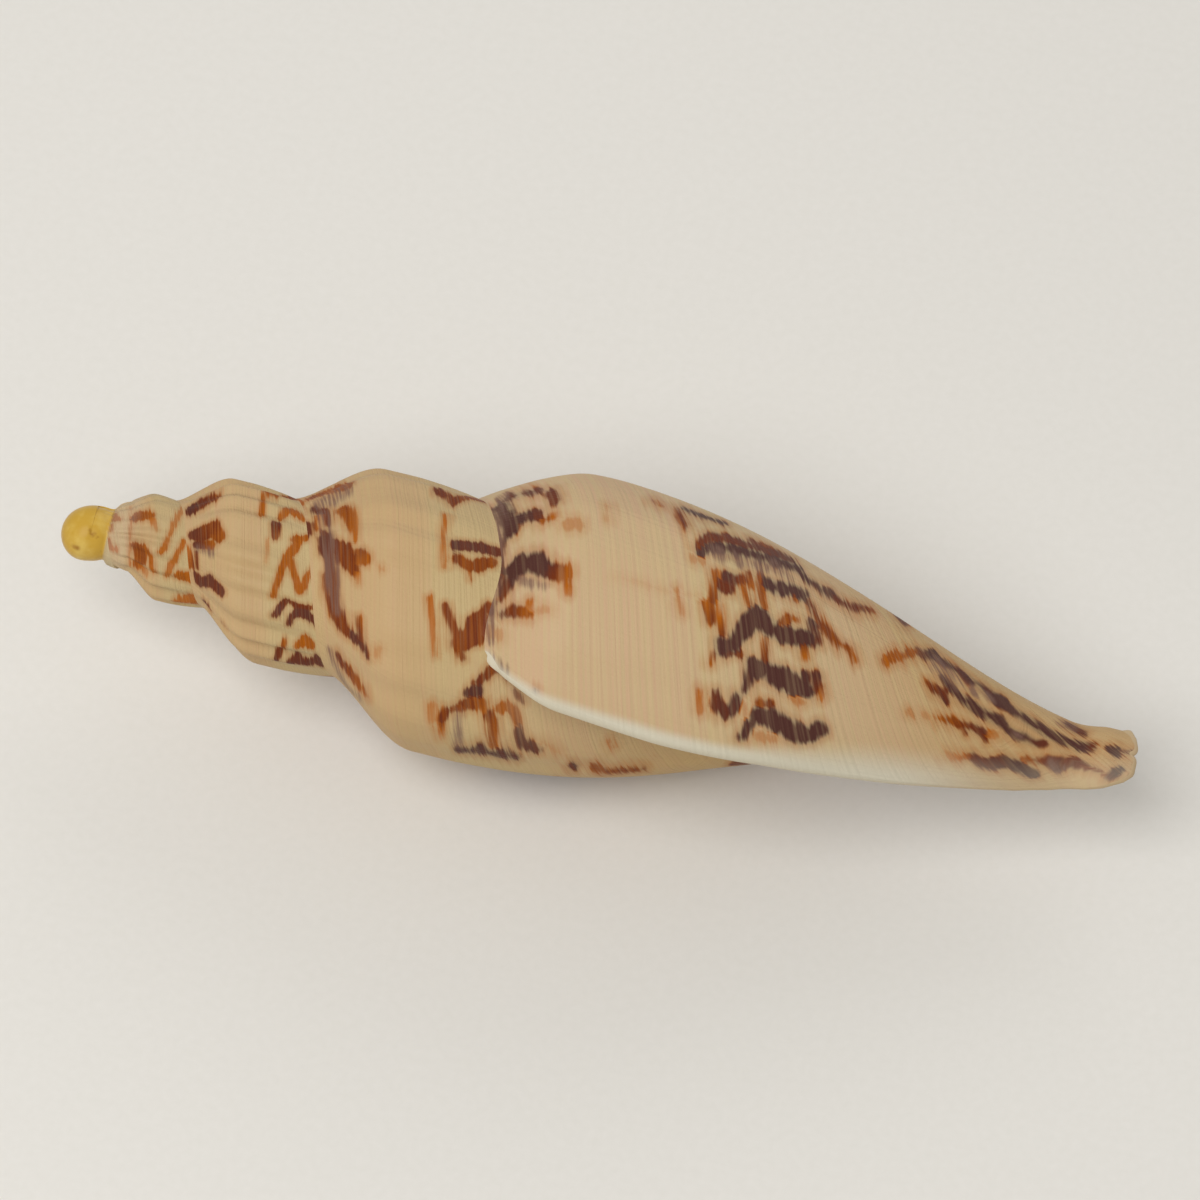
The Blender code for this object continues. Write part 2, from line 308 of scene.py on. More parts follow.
def ribWave(turn, share):
    # cos(2 pi * perTurn * turn) less the level, each rib a little early or late and more or less high
    fadeIn = easeStep(turn - spireStart, *ribShape["start"])
    fadeOut = 1 - easeStep(turn, *ribShape["fade"])
    late = ribShape["wander"] * waves(ribShape["late"], turn)
    high = ribShape["height"] * (1 + waves(ribShape["high"], turn, share))
    wave = np.cos(2 * np.pi * (ribShape["perTurn"] * (turn - lipStart) + late)) - ribShape["level"]
    return high * fadeIn * fadeOut * np.sin(np.pi * np.clip(share / ribShape["reach"], 0, 1)) * wave


def growthWave(turn, share):
    # a sum of sines along the growth, nothing at the suture
    size = relief["growthWaves"] * waves(relief["waves"], turn, share)
    return size * easeStep(share, *relief["waveShare"]) * easeStep(turn, *relief["waveTurns"])


def plaitRidge(turn, height):
    # sin^2 ridges that wind down the column, one plaitPitch apart
    way = (height - relief["plaitFrom"] - relief["plaitSlant"] * (turn + 1)) / relief["plaitPitch"]
    ridge = np.sin(np.pi * np.clip(way, 0, relief["plaits"])) ** 2
    near = 1 - easeStep(closing(turn, height), *relief["plaitNear"])
    return relief["plaitHeight"] * ridge * near * (1 - easeStep(turn, *relief["plaitEnds"]))


def bell(x, width=1):
    # exp(-(x / width)^2)
    return np.exp(-(x / width) ** 2)


def apexDips(turn, height):
    # on the oldest whorls: a rounded seam behind the cap, a fine suture, less a swelling of the neck
    past = height - capShape["seam"]
    before, after = capShape["seamWidths"]
    seam = capShape["seamDepth"] * bell(past, np.where(past < 0, before, after))
    line = height - np.interp(turn, capShape["lineTurns"], capShape["lineHeights"])
    shown = np.interp(turn, capShape["lineTurns"], capShape["lineShown"])
    line = capShape["lineDepth"] * shown * bell(line, capShape["lineWidth"])
    neck = capShape["neckSwell"] * bell(height - capShape["neck"], capShape["neckWidth"])
    oldest = 1 - easeStep(turn, *capShape["ends"])
    return (seam + line - neck * np.maximum(np.sin(2 * np.pi * turn), 0)) * oldest


def outline(turn, height, plain=False):
    # end + (low + (widest - low) * rising - end) * closing, then dips, ribs, growth waves and folds
    low = sutureRadius(turn)
    share = shareUp(turn, height)
    end = endRadius(turn, height)
    near = closing(turn, height)
    radius = end + (low + (widestRadius(turn) - low) * rising(turn, share) - end) * near
    if plain:
        return radius
    depth, dipTurn, turnWidth, dipHeight, heightWidth = growth["shoulderDip"]
    dip = depth * bell(turn - dipTurn, turnWidth) * bell(height - dipHeight, heightWidth)
    radius = radius - apexDips(turn, height) - dip
    return radius + ribWave(turn, share) + growthWave(turn, share) * near + plaitRidge(turn, height)


def lipTurn(height):
    # the lip's edge, straight between its named heights
    return np.interp(height, growth["lipHeights"], growth["lipDegrees"]) / 360


def wallThickness(turn, height):
    # the lip's thickness, less on older whorls by a power of the rate and less along the canal
    older = growth["rate"] ** (growth["wallPower"] * np.minimum(turn, 0))
    return growth["wall"] * older * (1 - growth["wallThinning"] * easeStep(height, *growth["wallThins"]))


def capDrop(height):
    # from nothing at dropEnds to the whole drop at dropWhole
    ends = capShape["dropEnds"]
    return capShape["drop"] * easeStep((ends - height) / (ends - capShape["dropWhole"]))


def place(turn, height, radius):
    # (height, -r cos, -r sin - drop): turn 0 faces -Y and the mouth side is down.
    # The canal's end is rounded: the height less past^2 * (tip - what the end reaches there).
    turn, height, radius = np.broadcast_arrays(turn, height, radius)
    angle = 2 * np.pi * turn
    below = radius * np.sin(angle)
    below = np.where(turn > canalEnd["pastTurn"], np.minimum(below, canalEnd["pastBelow"]), below)
    reaches = np.interp(below, canalEnd["below"], canalEnd["reaches"])
    reaches = reaches - canalEnd["notchDepth"] * bell(turn - canalEnd["notchTurn"], canalEnd["notchWidth"])
    past = np.maximum(height - canalEnd["from"], 0) / (growth["tip"] - canalEnd["from"])
    height = height - past ** 2 * (growth["tip"] - reaches)
    return np.stack([height, -radius * np.cos(angle), -radius * np.sin(angle) - capDrop(height)], axis=-1)


def hollowEnds(turnsIn):
    # first and last height where the wall stands clear of the whorl inside it
    heights = np.linspace(fineness["searchFrom"], growth["tip"], fineness["searchSteps"])
    turn = lipTurn(heights)[None, :] - 1 + turnsIn[:, None]
    gap = outline(turn, heights, True) - wallThickness(turn, heights) - outline(turn - 1, heights, True)
    clear = (gap > 0) & (heights > sutureHeight(turn) + fineness["clearance"])
    first = clear.argmax(axis=1)
    past = np.arange(heights.size)[None, :] > first[:, None]
    last = (past & ~clear).argmax(axis=1)
    last[last == 0] = heights.size - 1
    return heights[first], heights[last]


# Colour marks, read from the photograph

photo = {
    "mmPerPixel": 0.12,
    "apex": (66.0, 517.0),    # pixel where the axis leaves the apex
    "slope": 0.243,           # of the axis, down to the right
    "edgeOn": 0.985,          # depth as a share of the radius, no stroke is read nearer the outline
    "leastSlant": 0.4,
    "pastSuture": 0.3,        # mm that a stroke may lie over its whorl's suture
    "pastLip": 0.01,          # turns that it may lie over the lip
}

# Each stroke: tone at its start and end, then points (x, y, width) in pixels of the photograph.
# Tone 0 is orange, 0.5 brown and 1 dark purple; below 0 the mark is faint.
strokes = {
    "capNeck": [
        (0.2, 0.1, (114, 511, 4), (116, 518, 5), (122, 519, 3)),
        (0.1, 0.1, (113, 524, 3), (112, 531, 3)),
        (0.2, 0.0, (109, 541, 5), (112, 547, 5), (118, 549, 4)),
        # a faint brown line down the suture behind the neck: painted shade in the suture's crease
        (-0.2, -0.2, (131, 506, 2), (132, 535, 2), (131, 566, 2)),
    ],
    "firstWhorl": [
        (0.35, 0.15, (137, 517, 11), (146, 515, 11), (152, 516, 9)),
        (0.0, -0.5, (153, 518, 5), (157, 524, 4), (160, 531, 3)),
        (0.4, 0.25, (135, 545, 7), (140, 550, 14), (142, 558, 13), (137, 565, 7)),
        (0.2, 0.0, (147, 548, 6), (152, 558, 5), (156, 573, 4)),
        (0.1, -0.4, (141, 567, 5), (148, 574, 4)),
        (-0.3, 0.0, (187, 507, 5), (181, 514, 5), (176, 525, 6), (171, 537, 4), (167, 548, 6),
                    (163, 552, 5)),
        (0.0, -0.1, (186, 542, 5), (180, 554, 5), (173, 567, 6), (168, 577, 4)),
        (0.0, 0.2, (187, 546, 5), (190, 557, 9), (192, 565, 8)),
        (0.1, 0.1, (180, 576, 8), (188, 577, 9), (196, 579, 8)),
        (-0.1, 0.0, (175, 602, 5), (188, 600, 7), (201, 599, 8)),
    ],
    "secondWhorl": [
        (1.0, 0.45, (193, 509, 10), (200, 505, 10), (210, 500, 9), (218, 497, 8)),
        (0.8, 0.3, (196, 535, 11), (205, 534, 16), (216, 528, 14), (222, 536, 12)),
        (0.9, 0.2, (199, 545, 8), (214, 545, 9)),
        (0.9, 0.8, (198, 574, 5), (201, 582, 9), (212, 581, 9), (218, 587, 9), (224, 592, 8)),
        (0.7, 0.7, (199, 552, 3), (199, 569, 3)),
        (0.9, 0.5, (206, 602, 4), (211, 609, 4)),
        (0.4, 0.2, (224, 624, 4), (227, 628, 3)),
        (0.0, 0.5, (264, 513, 6), (265, 500, 4), (267, 492, 5), (278, 495, 6), (290, 495, 4), (297, 497, 4)),
        (0.1, 0.1, (297, 500, 5), (303, 503, 5)),
        (0.1, 0.1, (283, 518, 5), (287, 511, 7), (293, 511, 8), (300, 515, 6), (304, 520, 4)),
        (0.75, 0.45, (278, 526, 10), (278, 535, 9)),
        (0.7, 0.6, (307, 527, 11), (308, 533, 11)),
        (0.2, 0.1, (297, 540, 6), (305, 539, 7), (313, 538, 5)),
        (0.1, 0.15, (302, 541, 8), (297, 548, 8), (290, 557, 8), (284, 572, 6), (279, 586, 5),
                    (276, 597, 5)),
        (0.1, 0.1, (293, 560, 6), (297, 576, 6), (303, 591, 7), (310, 578, 7), (319, 563, 6), (323, 565, 4)),
        (-0.4, -0.5, (271, 539, 3), (269, 562, 3)),
        (0.9, 0.5, (277, 615, 6), (284, 607, 6), (290, 600, 4), (299, 607, 6), (310, 609, 5), (322, 605, 5)),
        (0.9, 0.9, (292, 623, 6), (294, 617, 7), (301, 612, 10), (310, 614, 7), (319, 622, 7),
                   (326, 630, 6), (330, 642, 6), (331, 655, 6)),
        (0.9, 0.2, (276, 660, 4), (281, 653, 7), (286, 643, 4)),
        (0.1, 0.1, (300, 645, 6), (306, 641, 9), (313, 645, 7)),
        (0.8, 0.9, (289, 663, 4), (297, 659, 6), (307, 663, 4), (318, 660, 7), (328, 664, 5)),
    ],
    "thirdWhorlTop": [
        (0.9, 0.9, (314, 509, 6), (319, 513, 6)),
        (0.3, 0.3, (312, 497, 5), (325, 492, 7), (338, 488, 8), (350, 485, 7)),
        (0.1, 0.2, (318, 516, 5), (320, 528, 5)),
        (0.6, 0.8, (327, 511, 5), (331, 523, 5)),
        (0.9, 0.8, (327, 538, 11), (329, 551, 13)),
        (0.3, 0.0, (345, 510, 9), (353, 520, 9), (357, 532, 6), (358, 541, 4)),
        (0.6, 0.45, (337, 545, 10), (345, 552, 17), (352, 562, 15), (358, 571, 9)),
        (0.4, 0.2, (363, 553, 11), (367, 560, 14)),
        (0.0, -0.3, (361, 572, 4), (361, 583, 3)),
        (0.5, 0.5, (328, 575, 4), (330, 595, 5), (336, 612, 8)),
        (0.45, 0.5, (335, 602, 8), (340, 615, 15), (346, 627, 13), (352, 634, 7)),
        (0.9, 0.8, (347, 630, 6), (357, 637, 8), (365, 645, 6), (370, 656, 4)),
        (0.4, 0.6, (362, 617, 3), (363, 630, 5), (364, 643, 6)),
        (0.7, 0.5, (326, 533, 7), (333, 560, 10), (336, 585, 8), (338, 606, 9)),
        (0.6, 0.05, (338, 654, 5), (347, 667, 8), (357, 678, 11), (365, 688, 9), (368, 694, 4)),
        (-0.5, -0.5, (383, 567, 4), (385, 570, 4)),
        (-0.5, -0.5, (378, 655, 5), (382, 648, 5)),
    ],
    "thirdWhorl": [
        (0.6, 0.4, (437, 491, 6), (447, 495, 6), (452, 502, 6), (472, 498, 5), (492, 504, 6)),
        (0.0, -0.2, (448, 516, 7), (445, 536, 5), (446, 567, 4)),
        (0.9, 0.8, (457, 546, 10), (479, 547, 10), (500, 553, 8)),
        (0.4, 0.4, (460, 559, 10), (472, 567, 12), (493, 563, 10)),
        (0.2, 0.2, (472, 570, 4), (472, 579, 4)),
        (0.3, 0.3, (501, 543, 4), (501, 575, 4)),
        (0.0, -0.2, (431, 598, 5), (436, 623, 4), (438, 655, 3)),
        (-0.2, -0.3, (432, 706, 4), (435, 718, 4)),
        (0.45, 0.45, (448, 606, 7), (457, 631, 8), (464, 657, 8)),
        (0.5, 0.5, (464, 648, 8), (472, 620, 8), (486, 612, 8), (489, 606, 8)),
        (0.45, 0.5, (463, 642, 20), (478, 632, 22), (487, 622, 14)),
        (0.6, 0.3, (478, 682, 8), (486, 676, 10), (492, 669, 9), (502, 668, 8), (510, 674, 9),
                   (512, 680, 5)),
        (1.0, 1.0, (470, 692, 8), (479, 689, 11)),
        (0.5, 0.1, (464, 704, 9), (475, 702, 13), (484, 702, 9), (487, 711, 6)),
        (0.5, 0.4, (443, 719, 7), (450, 710, 8), (462, 707, 8)),
        (0.3, -0.4, (443, 722, 7), (442, 736, 5)),
        (0.5, 0.2, (489, 713, 8), (494, 721, 10), (494, 745, 8)),
        (0.1, 0.3, (500, 708, 9), (508, 705, 12), (514, 710, 8), (518, 721, 5)),
        (0.9, 0.8, (519, 729, 6), (523, 742, 8), (533, 746, 8), (540, 749, 5)),
        (1.0, 0.9, (459, 749, 6), (470, 750, 6), (482, 748, 8), (492, 753, 5), (505, 753, 9), (516, 757, 6)),
        (0.5, 0.6, (516, 690, 5), (521, 696, 6), (524, 701, 3)),
        (0.7, 0.5, (536, 690, 5), (533, 696, 5)),
        (-0.5, -0.5, (543, 740, 4), (550, 745, 3), (558, 752, 4)),
        (0.8, 0.8, (572, 766, 5), (576, 768, 4)),
        (0.3, 0.4, (594, 767, 5), (606, 771, 3), (622, 770, 4), (644, 770, 3)),
        (-0.2, -0.3, (609, 740, 3), (613, 747, 3)),
    ],
    "bodyShoulder": [
        (0.6, 0.6, (501, 503, 5), (512, 494, 6), (526, 490, 5), (542, 487, 4)),
        (1.0, 0.9, (501, 506, 11), (507, 518, 13), (511, 531, 11)),
        (0.9, 0.6, (519, 518, 7), (528, 515, 9), (539, 514, 9)),
        (0.2, 0.0, (545, 519, 7), (554, 517, 8)),
        (0.5, 0.4, (552, 489, 8), (557, 498, 9)),
        (0.7, 0.6, (503, 540, 3), (503, 556, 3), (500, 590, 4), (493, 612, 3)),
        (-0.4, -0.4, (566, 524, 9), (580, 525, 9)),
        (0.9, 0.8, (514, 570, 14), (522, 564, 20), (536, 563, 18), (546, 570, 14)),
        (0.7, 0.1, (546, 570, 14), (556, 573, 13), (566, 573, 14)),
        (0.8, 0.3, (513, 578, 10), (507, 588, 9), (500, 600, 6)),
        (0.1, -0.1, (567, 582, 4), (568, 592, 3)),
        (0.5, 0.2, (505, 614, 9), (514, 611, 12), (526, 611, 11)),
        (0.0, -0.2, (529, 602, 4), (530, 611, 4)),
        (-0.5, -0.5, (541, 610, 8), (551, 610, 6)),
        (-0.5, -0.5, (493, 631, 10), (500, 634, 10)),
        (0.9, 0.8, (683, 508, 4), (700, 515, 4), (724, 523, 3)),
        (0.3, 0.3, (679, 509, 5), (681, 517, 6), (685, 528, 5)),
        (0.2, 0.2, (653, 500, 3), (660, 506, 3)),
        (-0.8, -0.8, (615, 577, 2), (640, 583, 2), (655, 588, 2), (672, 593, 2), (700, 596, 2)),
        (-0.5, -0.5, (607, 508, 4), (607, 520, 4)),
    ],
    "bodyZigzagUpper": [
        (0.4, 0.6, (698, 548, 9), (704, 540, 9), (715, 539, 10), (730, 541, 10), (745, 546, 10),
                   (760, 549, 10), (775, 554, 9), (790, 561, 8)),
        (0.9, 1.0, (698, 554, 7), (708, 548, 9), (720, 548, 9), (735, 551, 9), (757, 557, 9),
                   (775, 562, 9), (790, 567, 8), (797, 570, 7)),
        (0.4, 0.3, (748, 541, 5), (757, 544, 5), (770, 549, 5)),
        (-0.4, -0.4, (693, 559, 7), (700, 560, 6)),
        (0.9, 0.7, (795, 570, 5), (806, 581, 5), (815, 586, 5)),
        (0.8, 0.8, (820, 590, 5), (828, 594, 8)),
        (0.6, 0.4, (830, 596, 5), (843, 604, 5)),
        (0.5, 0.3, (851, 607, 6), (869, 610, 5)),
        (0.1, 0.3, (713, 572, 6), (714, 600, 7)),
        (0.5, 0.5, (717, 585, 10), (725, 588, 11)),
        (0.7, 0.3, (725, 577, 9), (740, 580, 11)),
        (0.3, 0.1, (747, 573, 6), (748, 585, 6)),
        (0.1, 0.2, (740, 585, 4), (748, 606, 4)),
        (0.2, 0.2, (757, 575, 5), (759, 600, 5), (762, 608, 5)),
        (0.8, 1.0, (762, 581, 8), (768, 584, 12), (775, 588, 13), (787, 588, 12), (801, 594, 11)),
        (0.5, 0.1, (801, 593, 5), (808, 604, 5), (812, 616, 5), (817, 624, 5), (826, 634, 7),
                   (838, 645, 8), (846, 648, 6), (852, 660, 3)),
        (0.4, 0.2, (791, 589, 5), (792, 599, 5)),
        (0.1, 0.3, (704, 603, 8), (709, 618, 10)),
        (-0.3, 0.3, (718, 604, 6), (720, 632, 6)),
        (0.1, 0.4, (709, 663, 4), (713, 652, 5)),
        (0.8, 0.9, (716, 640, 7), (719, 648, 12), (729, 646, 14), (734, 638, 12), (740, 631, 15),
                   (748, 622, 18), (755, 617, 22)),
        (0.9, 0.9, (755, 617, 22), (762, 622, 18), (770, 630, 14), (780, 634, 15), (795, 637, 14),
                   (808, 638, 13)),
        (0.8, 0.6, (809, 622, 8), (812, 642, 9)),
        (0.3, 0.0, (800, 645, 7), (801, 655, 5)),
        (0.3, 0.1, (778, 624, 6), (786, 618, 8), (793, 619, 6)),
        (0.8, 0.3, (718, 651, 7), (738, 653, 6)),
    ],
    "bodyZigzagLower": [
        (0.2, 0.4, (763, 638, 4), (763, 660, 6)),
        (0.7, 0.8, (741, 689, 8), (745, 680, 8), (748, 668, 10)),
        (0.9, 0.9, (749, 663, 11), (754, 668, 17), (762, 668, 12)),
        (0.9, 1.0, (766, 668, 12), (772, 673, 19), (783, 679, 21), (793, 684, 21), (802, 690, 14)),
        (0.8, 0.8, (801, 674, 7), (803, 690, 8)),
        (0.7, 0.5, (813, 675, 7), (813, 688, 7)),
        (0.3, 0.0, (816, 684, 5), (818, 697, 4)),
        (-0.2, -0.2, (788, 695, 5), (800, 701, 6)),
        (0.0, -0.2, (699, 690, 8), (699, 707, 8)),
        (0.5, 0.8, (713, 690, 6), (715, 703, 9), (724, 711, 12), (733, 705, 11), (735, 695, 9)),
        (-0.5, -0.5, (742, 702, 8), (746, 712, 8)),
        (0.2, 0.4, (755, 702, 8), (766, 703, 8)),
        (0.8, 0.9, (740, 734, 8), (746, 724, 8), (752, 714, 14)),
        (0.9, 1.0, (752, 713, 15), (766, 715, 17), (785, 726, 17), (797, 732, 16), (808, 733, 14)),
        (0.9, 0.8, (808, 731, 12), (815, 726, 14), (820, 728, 11)),
        (-0.4, -0.4, (755, 733, 7), (770, 736, 6)),
        (-0.3, -0.4, (675, 590, 3), (680, 612, 3)),
    ],
    "anterior": [
        (0.1, 0.2, (882, 660, 6), (888, 656, 9), (900, 655, 8), (908, 652, 8), (915, 651, 8)),
        (0.5, 0.9, (915, 651, 8), (924, 654, 9), (932, 654, 9)),
        (0.8, 0.7, (931, 656, 6), (941, 661, 5), (955, 670, 5), (967, 679, 5), (979, 686, 5), (988, 692, 5)),
        (0.8, 0.9, (988, 693, 6), (994, 698, 10), (1001, 702, 10), (1004, 704, 6)),
        (0.9, 1.0, (1003, 704, 5), (1014, 712, 6), (1024, 719, 8), (1035, 726, 10), (1046, 733, 9),
                   (1058, 738, 7), (1067, 742, 6), (1075, 744, 6)),
        (1.0, 0.5, (1077, 746, 9), (1090, 746, 9)),
        (0.3, 0.6, (926, 682, 4), (931, 688, 6), (938, 692, 8), (943, 699, 6)),
        (0.5, 0.5, (941, 694, 5), (945, 687, 5)),
        (0.8, 0.9, (939, 676, 5), (945, 684, 6), (952, 691, 5), (960, 698, 7), (971, 706, 9),
                   (985, 714, 10), (997, 720, 9), (1003, 725, 5)),
        (0.9, 0.6, (1005, 729, 5), (1012, 733, 8), (1022, 736, 9), (1032, 742, 7), (1042, 742, 6)),
        (0.1, 0.6, (934, 717, 5), (946, 720, 6), (958, 723, 6), (970, 727, 7), (981, 733, 7)),
        (0.3, -0.3, (981, 733, 7), (991, 733, 4)),
        (0.4, 0.4, (962, 724, 4), (963, 731, 3)),
        (0.5, 0.4, (981, 734, 5), (982, 740, 3)),
        (-0.4, 0.3, (945, 755, 6), (957, 757, 6), (968, 755, 7)),
        (0.5, 0.9, (968, 755, 7), (976, 761, 8), (988, 763, 9), (1000, 761, 10), (1012, 764, 9),
                   (1022, 769, 7), (1032, 773, 6)),
        (0.2, 0.6, (1024, 758, 7), (1036, 760, 8), (1046, 761, 10), (1056, 764, 12)),
        (0.6, 0.3, (1056, 764, 12), (1066, 762, 9), (1074, 763, 11), (1084, 766, 9), (1094, 769, 5),
                   (1104, 775, 3)),
        (0.5, 0.9, (1104, 776, 5), (1110, 773, 8), (1118, 768, 6)),
        (0.8, 0.9, (1109, 749, 6), (1114, 752, 8), (1118, 749, 4)),
        (0.5, 0.6, (1119, 750, 3), (1126, 752, 3), (1134, 752, 3)),
        (0.7, 0.6, (1066, 724, 5), (1075, 729, 6), (1083, 733, 5)),
        (-0.4, -0.4, (905, 711, 5), (907, 712, 4)),
        (-0.5, -0.5, (920, 714, 4), (926, 715, 4)),
        (0.6, 0.6, (896, 616, 5), (903, 623, 5)),
    ],
}

strokeSpread = 0.19           # mm, added to the half width on the last whorl, less on older ones

# Places where the marks turn lilac grey: partly rubbed wear, partly a painted sheen of light along the
# threads by the sutures
rubbedAndSheen = [
    [(709, 551, 8), (737, 561, 9), (757, 566, 8), (777, 569, 8), (789, 580, 7)],
    [(322, 515, 9), (328, 530, 10), (334, 560, 13), (336, 590, 13), (340, 610, 10)],
    [(318, 505, 8), (335, 497, 12), (350, 492, 8)],
    [(332, 650, 6), (338, 673, 8), (350, 688, 6), (360, 697, 5)],
    [(488, 655, 8), (498, 662, 8), (505, 670, 5)],
    [(934, 664, 12), (948, 676, 12), (954, 683, 9)],
    [(975, 690, 10), (985, 697, 8)],
    [(459, 716, 9), (459, 742, 8)],
    [(502, 497, 8), (500, 530, 9), (497, 560, 7), (494, 600, 7), (492, 640, 6)],
    [(201, 549, 8), (214, 553, 8)],
    [(1012, 733, 6), (1020, 735, 6)],
    [(1048, 762, 7), (1056, 768, 7)],
    [(1060, 722, 5), (1072, 727, 5)],
    [(521, 581, 6), (535, 583, 8), (546, 586, 5)],
]


def onSurface(x, y):
    # pixel to turn and height: along the axis, and round it by asin(depth below the axis / radius)
    right, down = x - photo["apex"][0], y - photo["apex"][1]
    scale = photo["mmPerPixel"] / np.hypot(1, photo["slope"])
    height = (right + photo["slope"] * down) * scale
    depth = (down - photo["slope"] * right) * scale - capDrop(height)
    turn = None
    for whorl in range(-4, 1):
        guess = np.full(x.shape, float(whorl))
        for step in range(4):
            share = np.clip(depth / outline(guess, height, True), -photo["edgeOn"], photo["edgeOn"])
            guess = whorl + np.arcsin(share) / (2 * np.pi)
        shown = height >= sutureHeight(guess) - photo["pastSuture"]
        if whorl == 0:
            shown &= guess <= lipTurn(height) + photo["pastLip"]
        if turn is None or shown.mean() > 0.5:      # the newest whorl that most of the stroke lies on
            turn = guess
    return turn, height


def strokePoints(points):
    # turn, height and half width of each point: half of width * mm per pixel, and strokeSpread * rate^turn
    x, y, width = (np.array(column, float) for column in zip(*points))
    turn, height = onSurface(x, y)
    half = width * photo["mmPerPixel"] / 2 + strokeSpread * growth["rate"] ** np.minimum(turn, 0)
    return turn, height, half


def laidOut(turn, height, half, toneStart, toneEnd):
    # one row per stretch between two points: turn, height, half width and tone at both ends, and mm per
    # turn there, 2 pi * radius * slant, where slant is how squarely the photograph shows the place
    columns = (turn, height, half, np.linspace(toneStart, toneEnd, turn.size))
    middle = (turn[1:] + turn[:-1]) / 2
    radius = outline(middle, (height[1:] + height[:-1]) / 2, True)
    slant = np.maximum(abs(np.cos(2 * np.pi * middle)), photo["leastSlant"])
    starts = [column[:-1] for column in columns]
    ends = [column[1:] for column in columns]
    return np.stack(starts + ends + [2 * np.pi * radius * slant], axis=1)


def halfTurnOn(turn, height, ahead):
    # the same place on the spiral, that much further round
    return turn + ahead, spiralHeight(nowHeight(turn, height), turn + ahead)


hiddenSide = {
    "seed": 11,
    "turnJitter": 0.015,
    "heightJitter": 0.8,      # mm
    "widthJitter": 0.2,       # of the width
    "canalSpread": 1.45,      # the marks by the canal reach so much further from the tip
}


def allStrokes():
    # the strokes seen, and for the side not seen the same ones half a turn on, each moved a little
    chance = np.random.default_rng(hiddenSide["seed"])
    seen, hidden = [], []
    for name, group in strokes.items():
        back = -1 if name.startswith(("body", "anterior")) else 1
        for toneStart, toneEnd, *points in group:
            turn, height, half = strokePoints(points)
            seen.append(laidOut(turn, height, half, toneStart, toneEnd))
            moved = chance.uniform(-1, 1, 3)
            turnOn, heightOn = halfTurnOn(turn, height, back * (0.5 + moved[0] * hiddenSide["turnJitter"]))
            if name == "anterior":
                heightOn = growth["tip"] - (growth["tip"] - height) * hiddenSide["canalSpread"]
            heightOn = heightOn + moved[1] * hiddenSide["heightJitter"]
            half = half * (1 + moved[2] * hiddenSide["widthJitter"])
            hidden.append(laidOut(turnOn, heightOn, half, toneStart, toneEnd))
    return np.concatenate(seen + hidden)


def rubbedAndSheenStrokes():
    # the rubbed places with their painted sheen, and the same ones half a turn on or back
    rows = []
    for points in rubbedAndSheen:
        turn, height, half = strokePoints(points)
        rows.append(laidOut(turn, height, half, 0, 0))
        rows.append(laidOut(*halfTurnOn(turn, height, np.where(turn > -0.5, -0.5, 0.5)), half, 0, 0))
    return np.concatenate(rows)


noMark = -2.0                 # mm, the depth where no stroke is near


def depthInStrokes(turn, height, rows):
    # for every place: half width less the distance to the nearest stroke, in mm, and that stroke's tone
    depth = np.full(turn.shape, noMark)
    tone = np.zeros(turn.shape)
    for row in rows:
        (turnA, heightA, halfA, toneA), (turnB, heightB, halfB, toneB), perTurn = row[:4], row[4:8], row[8]
        reach = max(halfA, halfB) - noMark
        near = (height > min(heightA, heightB) - reach) & (height < max(heightA, heightB) + reach)
        near &= (turn > min(turnA, turnB) - reach / perTurn) & (turn < max(turnA, turnB) + reach / perTurn)
        if not near.any():
            continue
        x, y = (turn[near] - turnA) * perTurn, height[near] - heightA
        lengthX, lengthY = (turnB - turnA) * perTurn, heightB - heightA
        along = (x * lengthX + y * lengthY) / max(lengthX ** 2 + lengthY ** 2, 1e-9)
        along = np.clip(along, 0, 1)
        inside = halfA + (halfB - halfA) * along - np.hypot(x - along * lengthX, y - along * lengthY)
        better = inside > depth[near]
        spots = np.flatnonzero(near)[better]
        depth.flat[spots] = inside[better]
        tone.flat[spots] = (toneA + (toneB - toneA) * along)[better]
    return depth, tone


markRows = allStrokes()
rubbedAndSheenRows = rubbedAndSheenStrokes()
print("colour marks:", len(markRows), "stretches,", len(rubbedAndSheenRows), "rubbedAndSheen")

# Growth distance: how far the widest part of the whorl has travelled, in mm
growthTurns = np.linspace(-6, 1, 1401)
growthWay = runningSum(2 * np.pi * widestRadius(growthTurns), growthTurns)


def growthAt(turn):
    # growth distance at a turn, straight between the turns worked out
    return np.interp(turn, growthTurns, growthWay)


# The white of the lip and the glaze that the last whorl's mouth has left on the one before
zones = {
    "lipHeights": (53, 60, 72),
    "lipWidths": (-0.8, -0.1, 0.4),     # mm of full white at those heights
    "lipFade": 1.5,                     # mm, the white fades out over this
    "lipFadeMore": 3.5,                 # and over so much more toward the canal
    "lipFadeGrows": (82, 20),
    "lipLoss": 0.75,                    # share of the white that the canal lacks
    "lipThins": (102, 18),
    "edgeThins": (98, 20),
    "edgeGlaze": 0.8,
    "glazeWay": (0, 1.5, 5, 9),         # mm past the lip
    "glazeShare": (1, 0.2, 0.12, 0),
    "glazeRadius": 12,
    "glazeRises": (0.5, 3),             # mm over the suture
    "innerLip": 0.5,                    # white of the wall's inner line
}


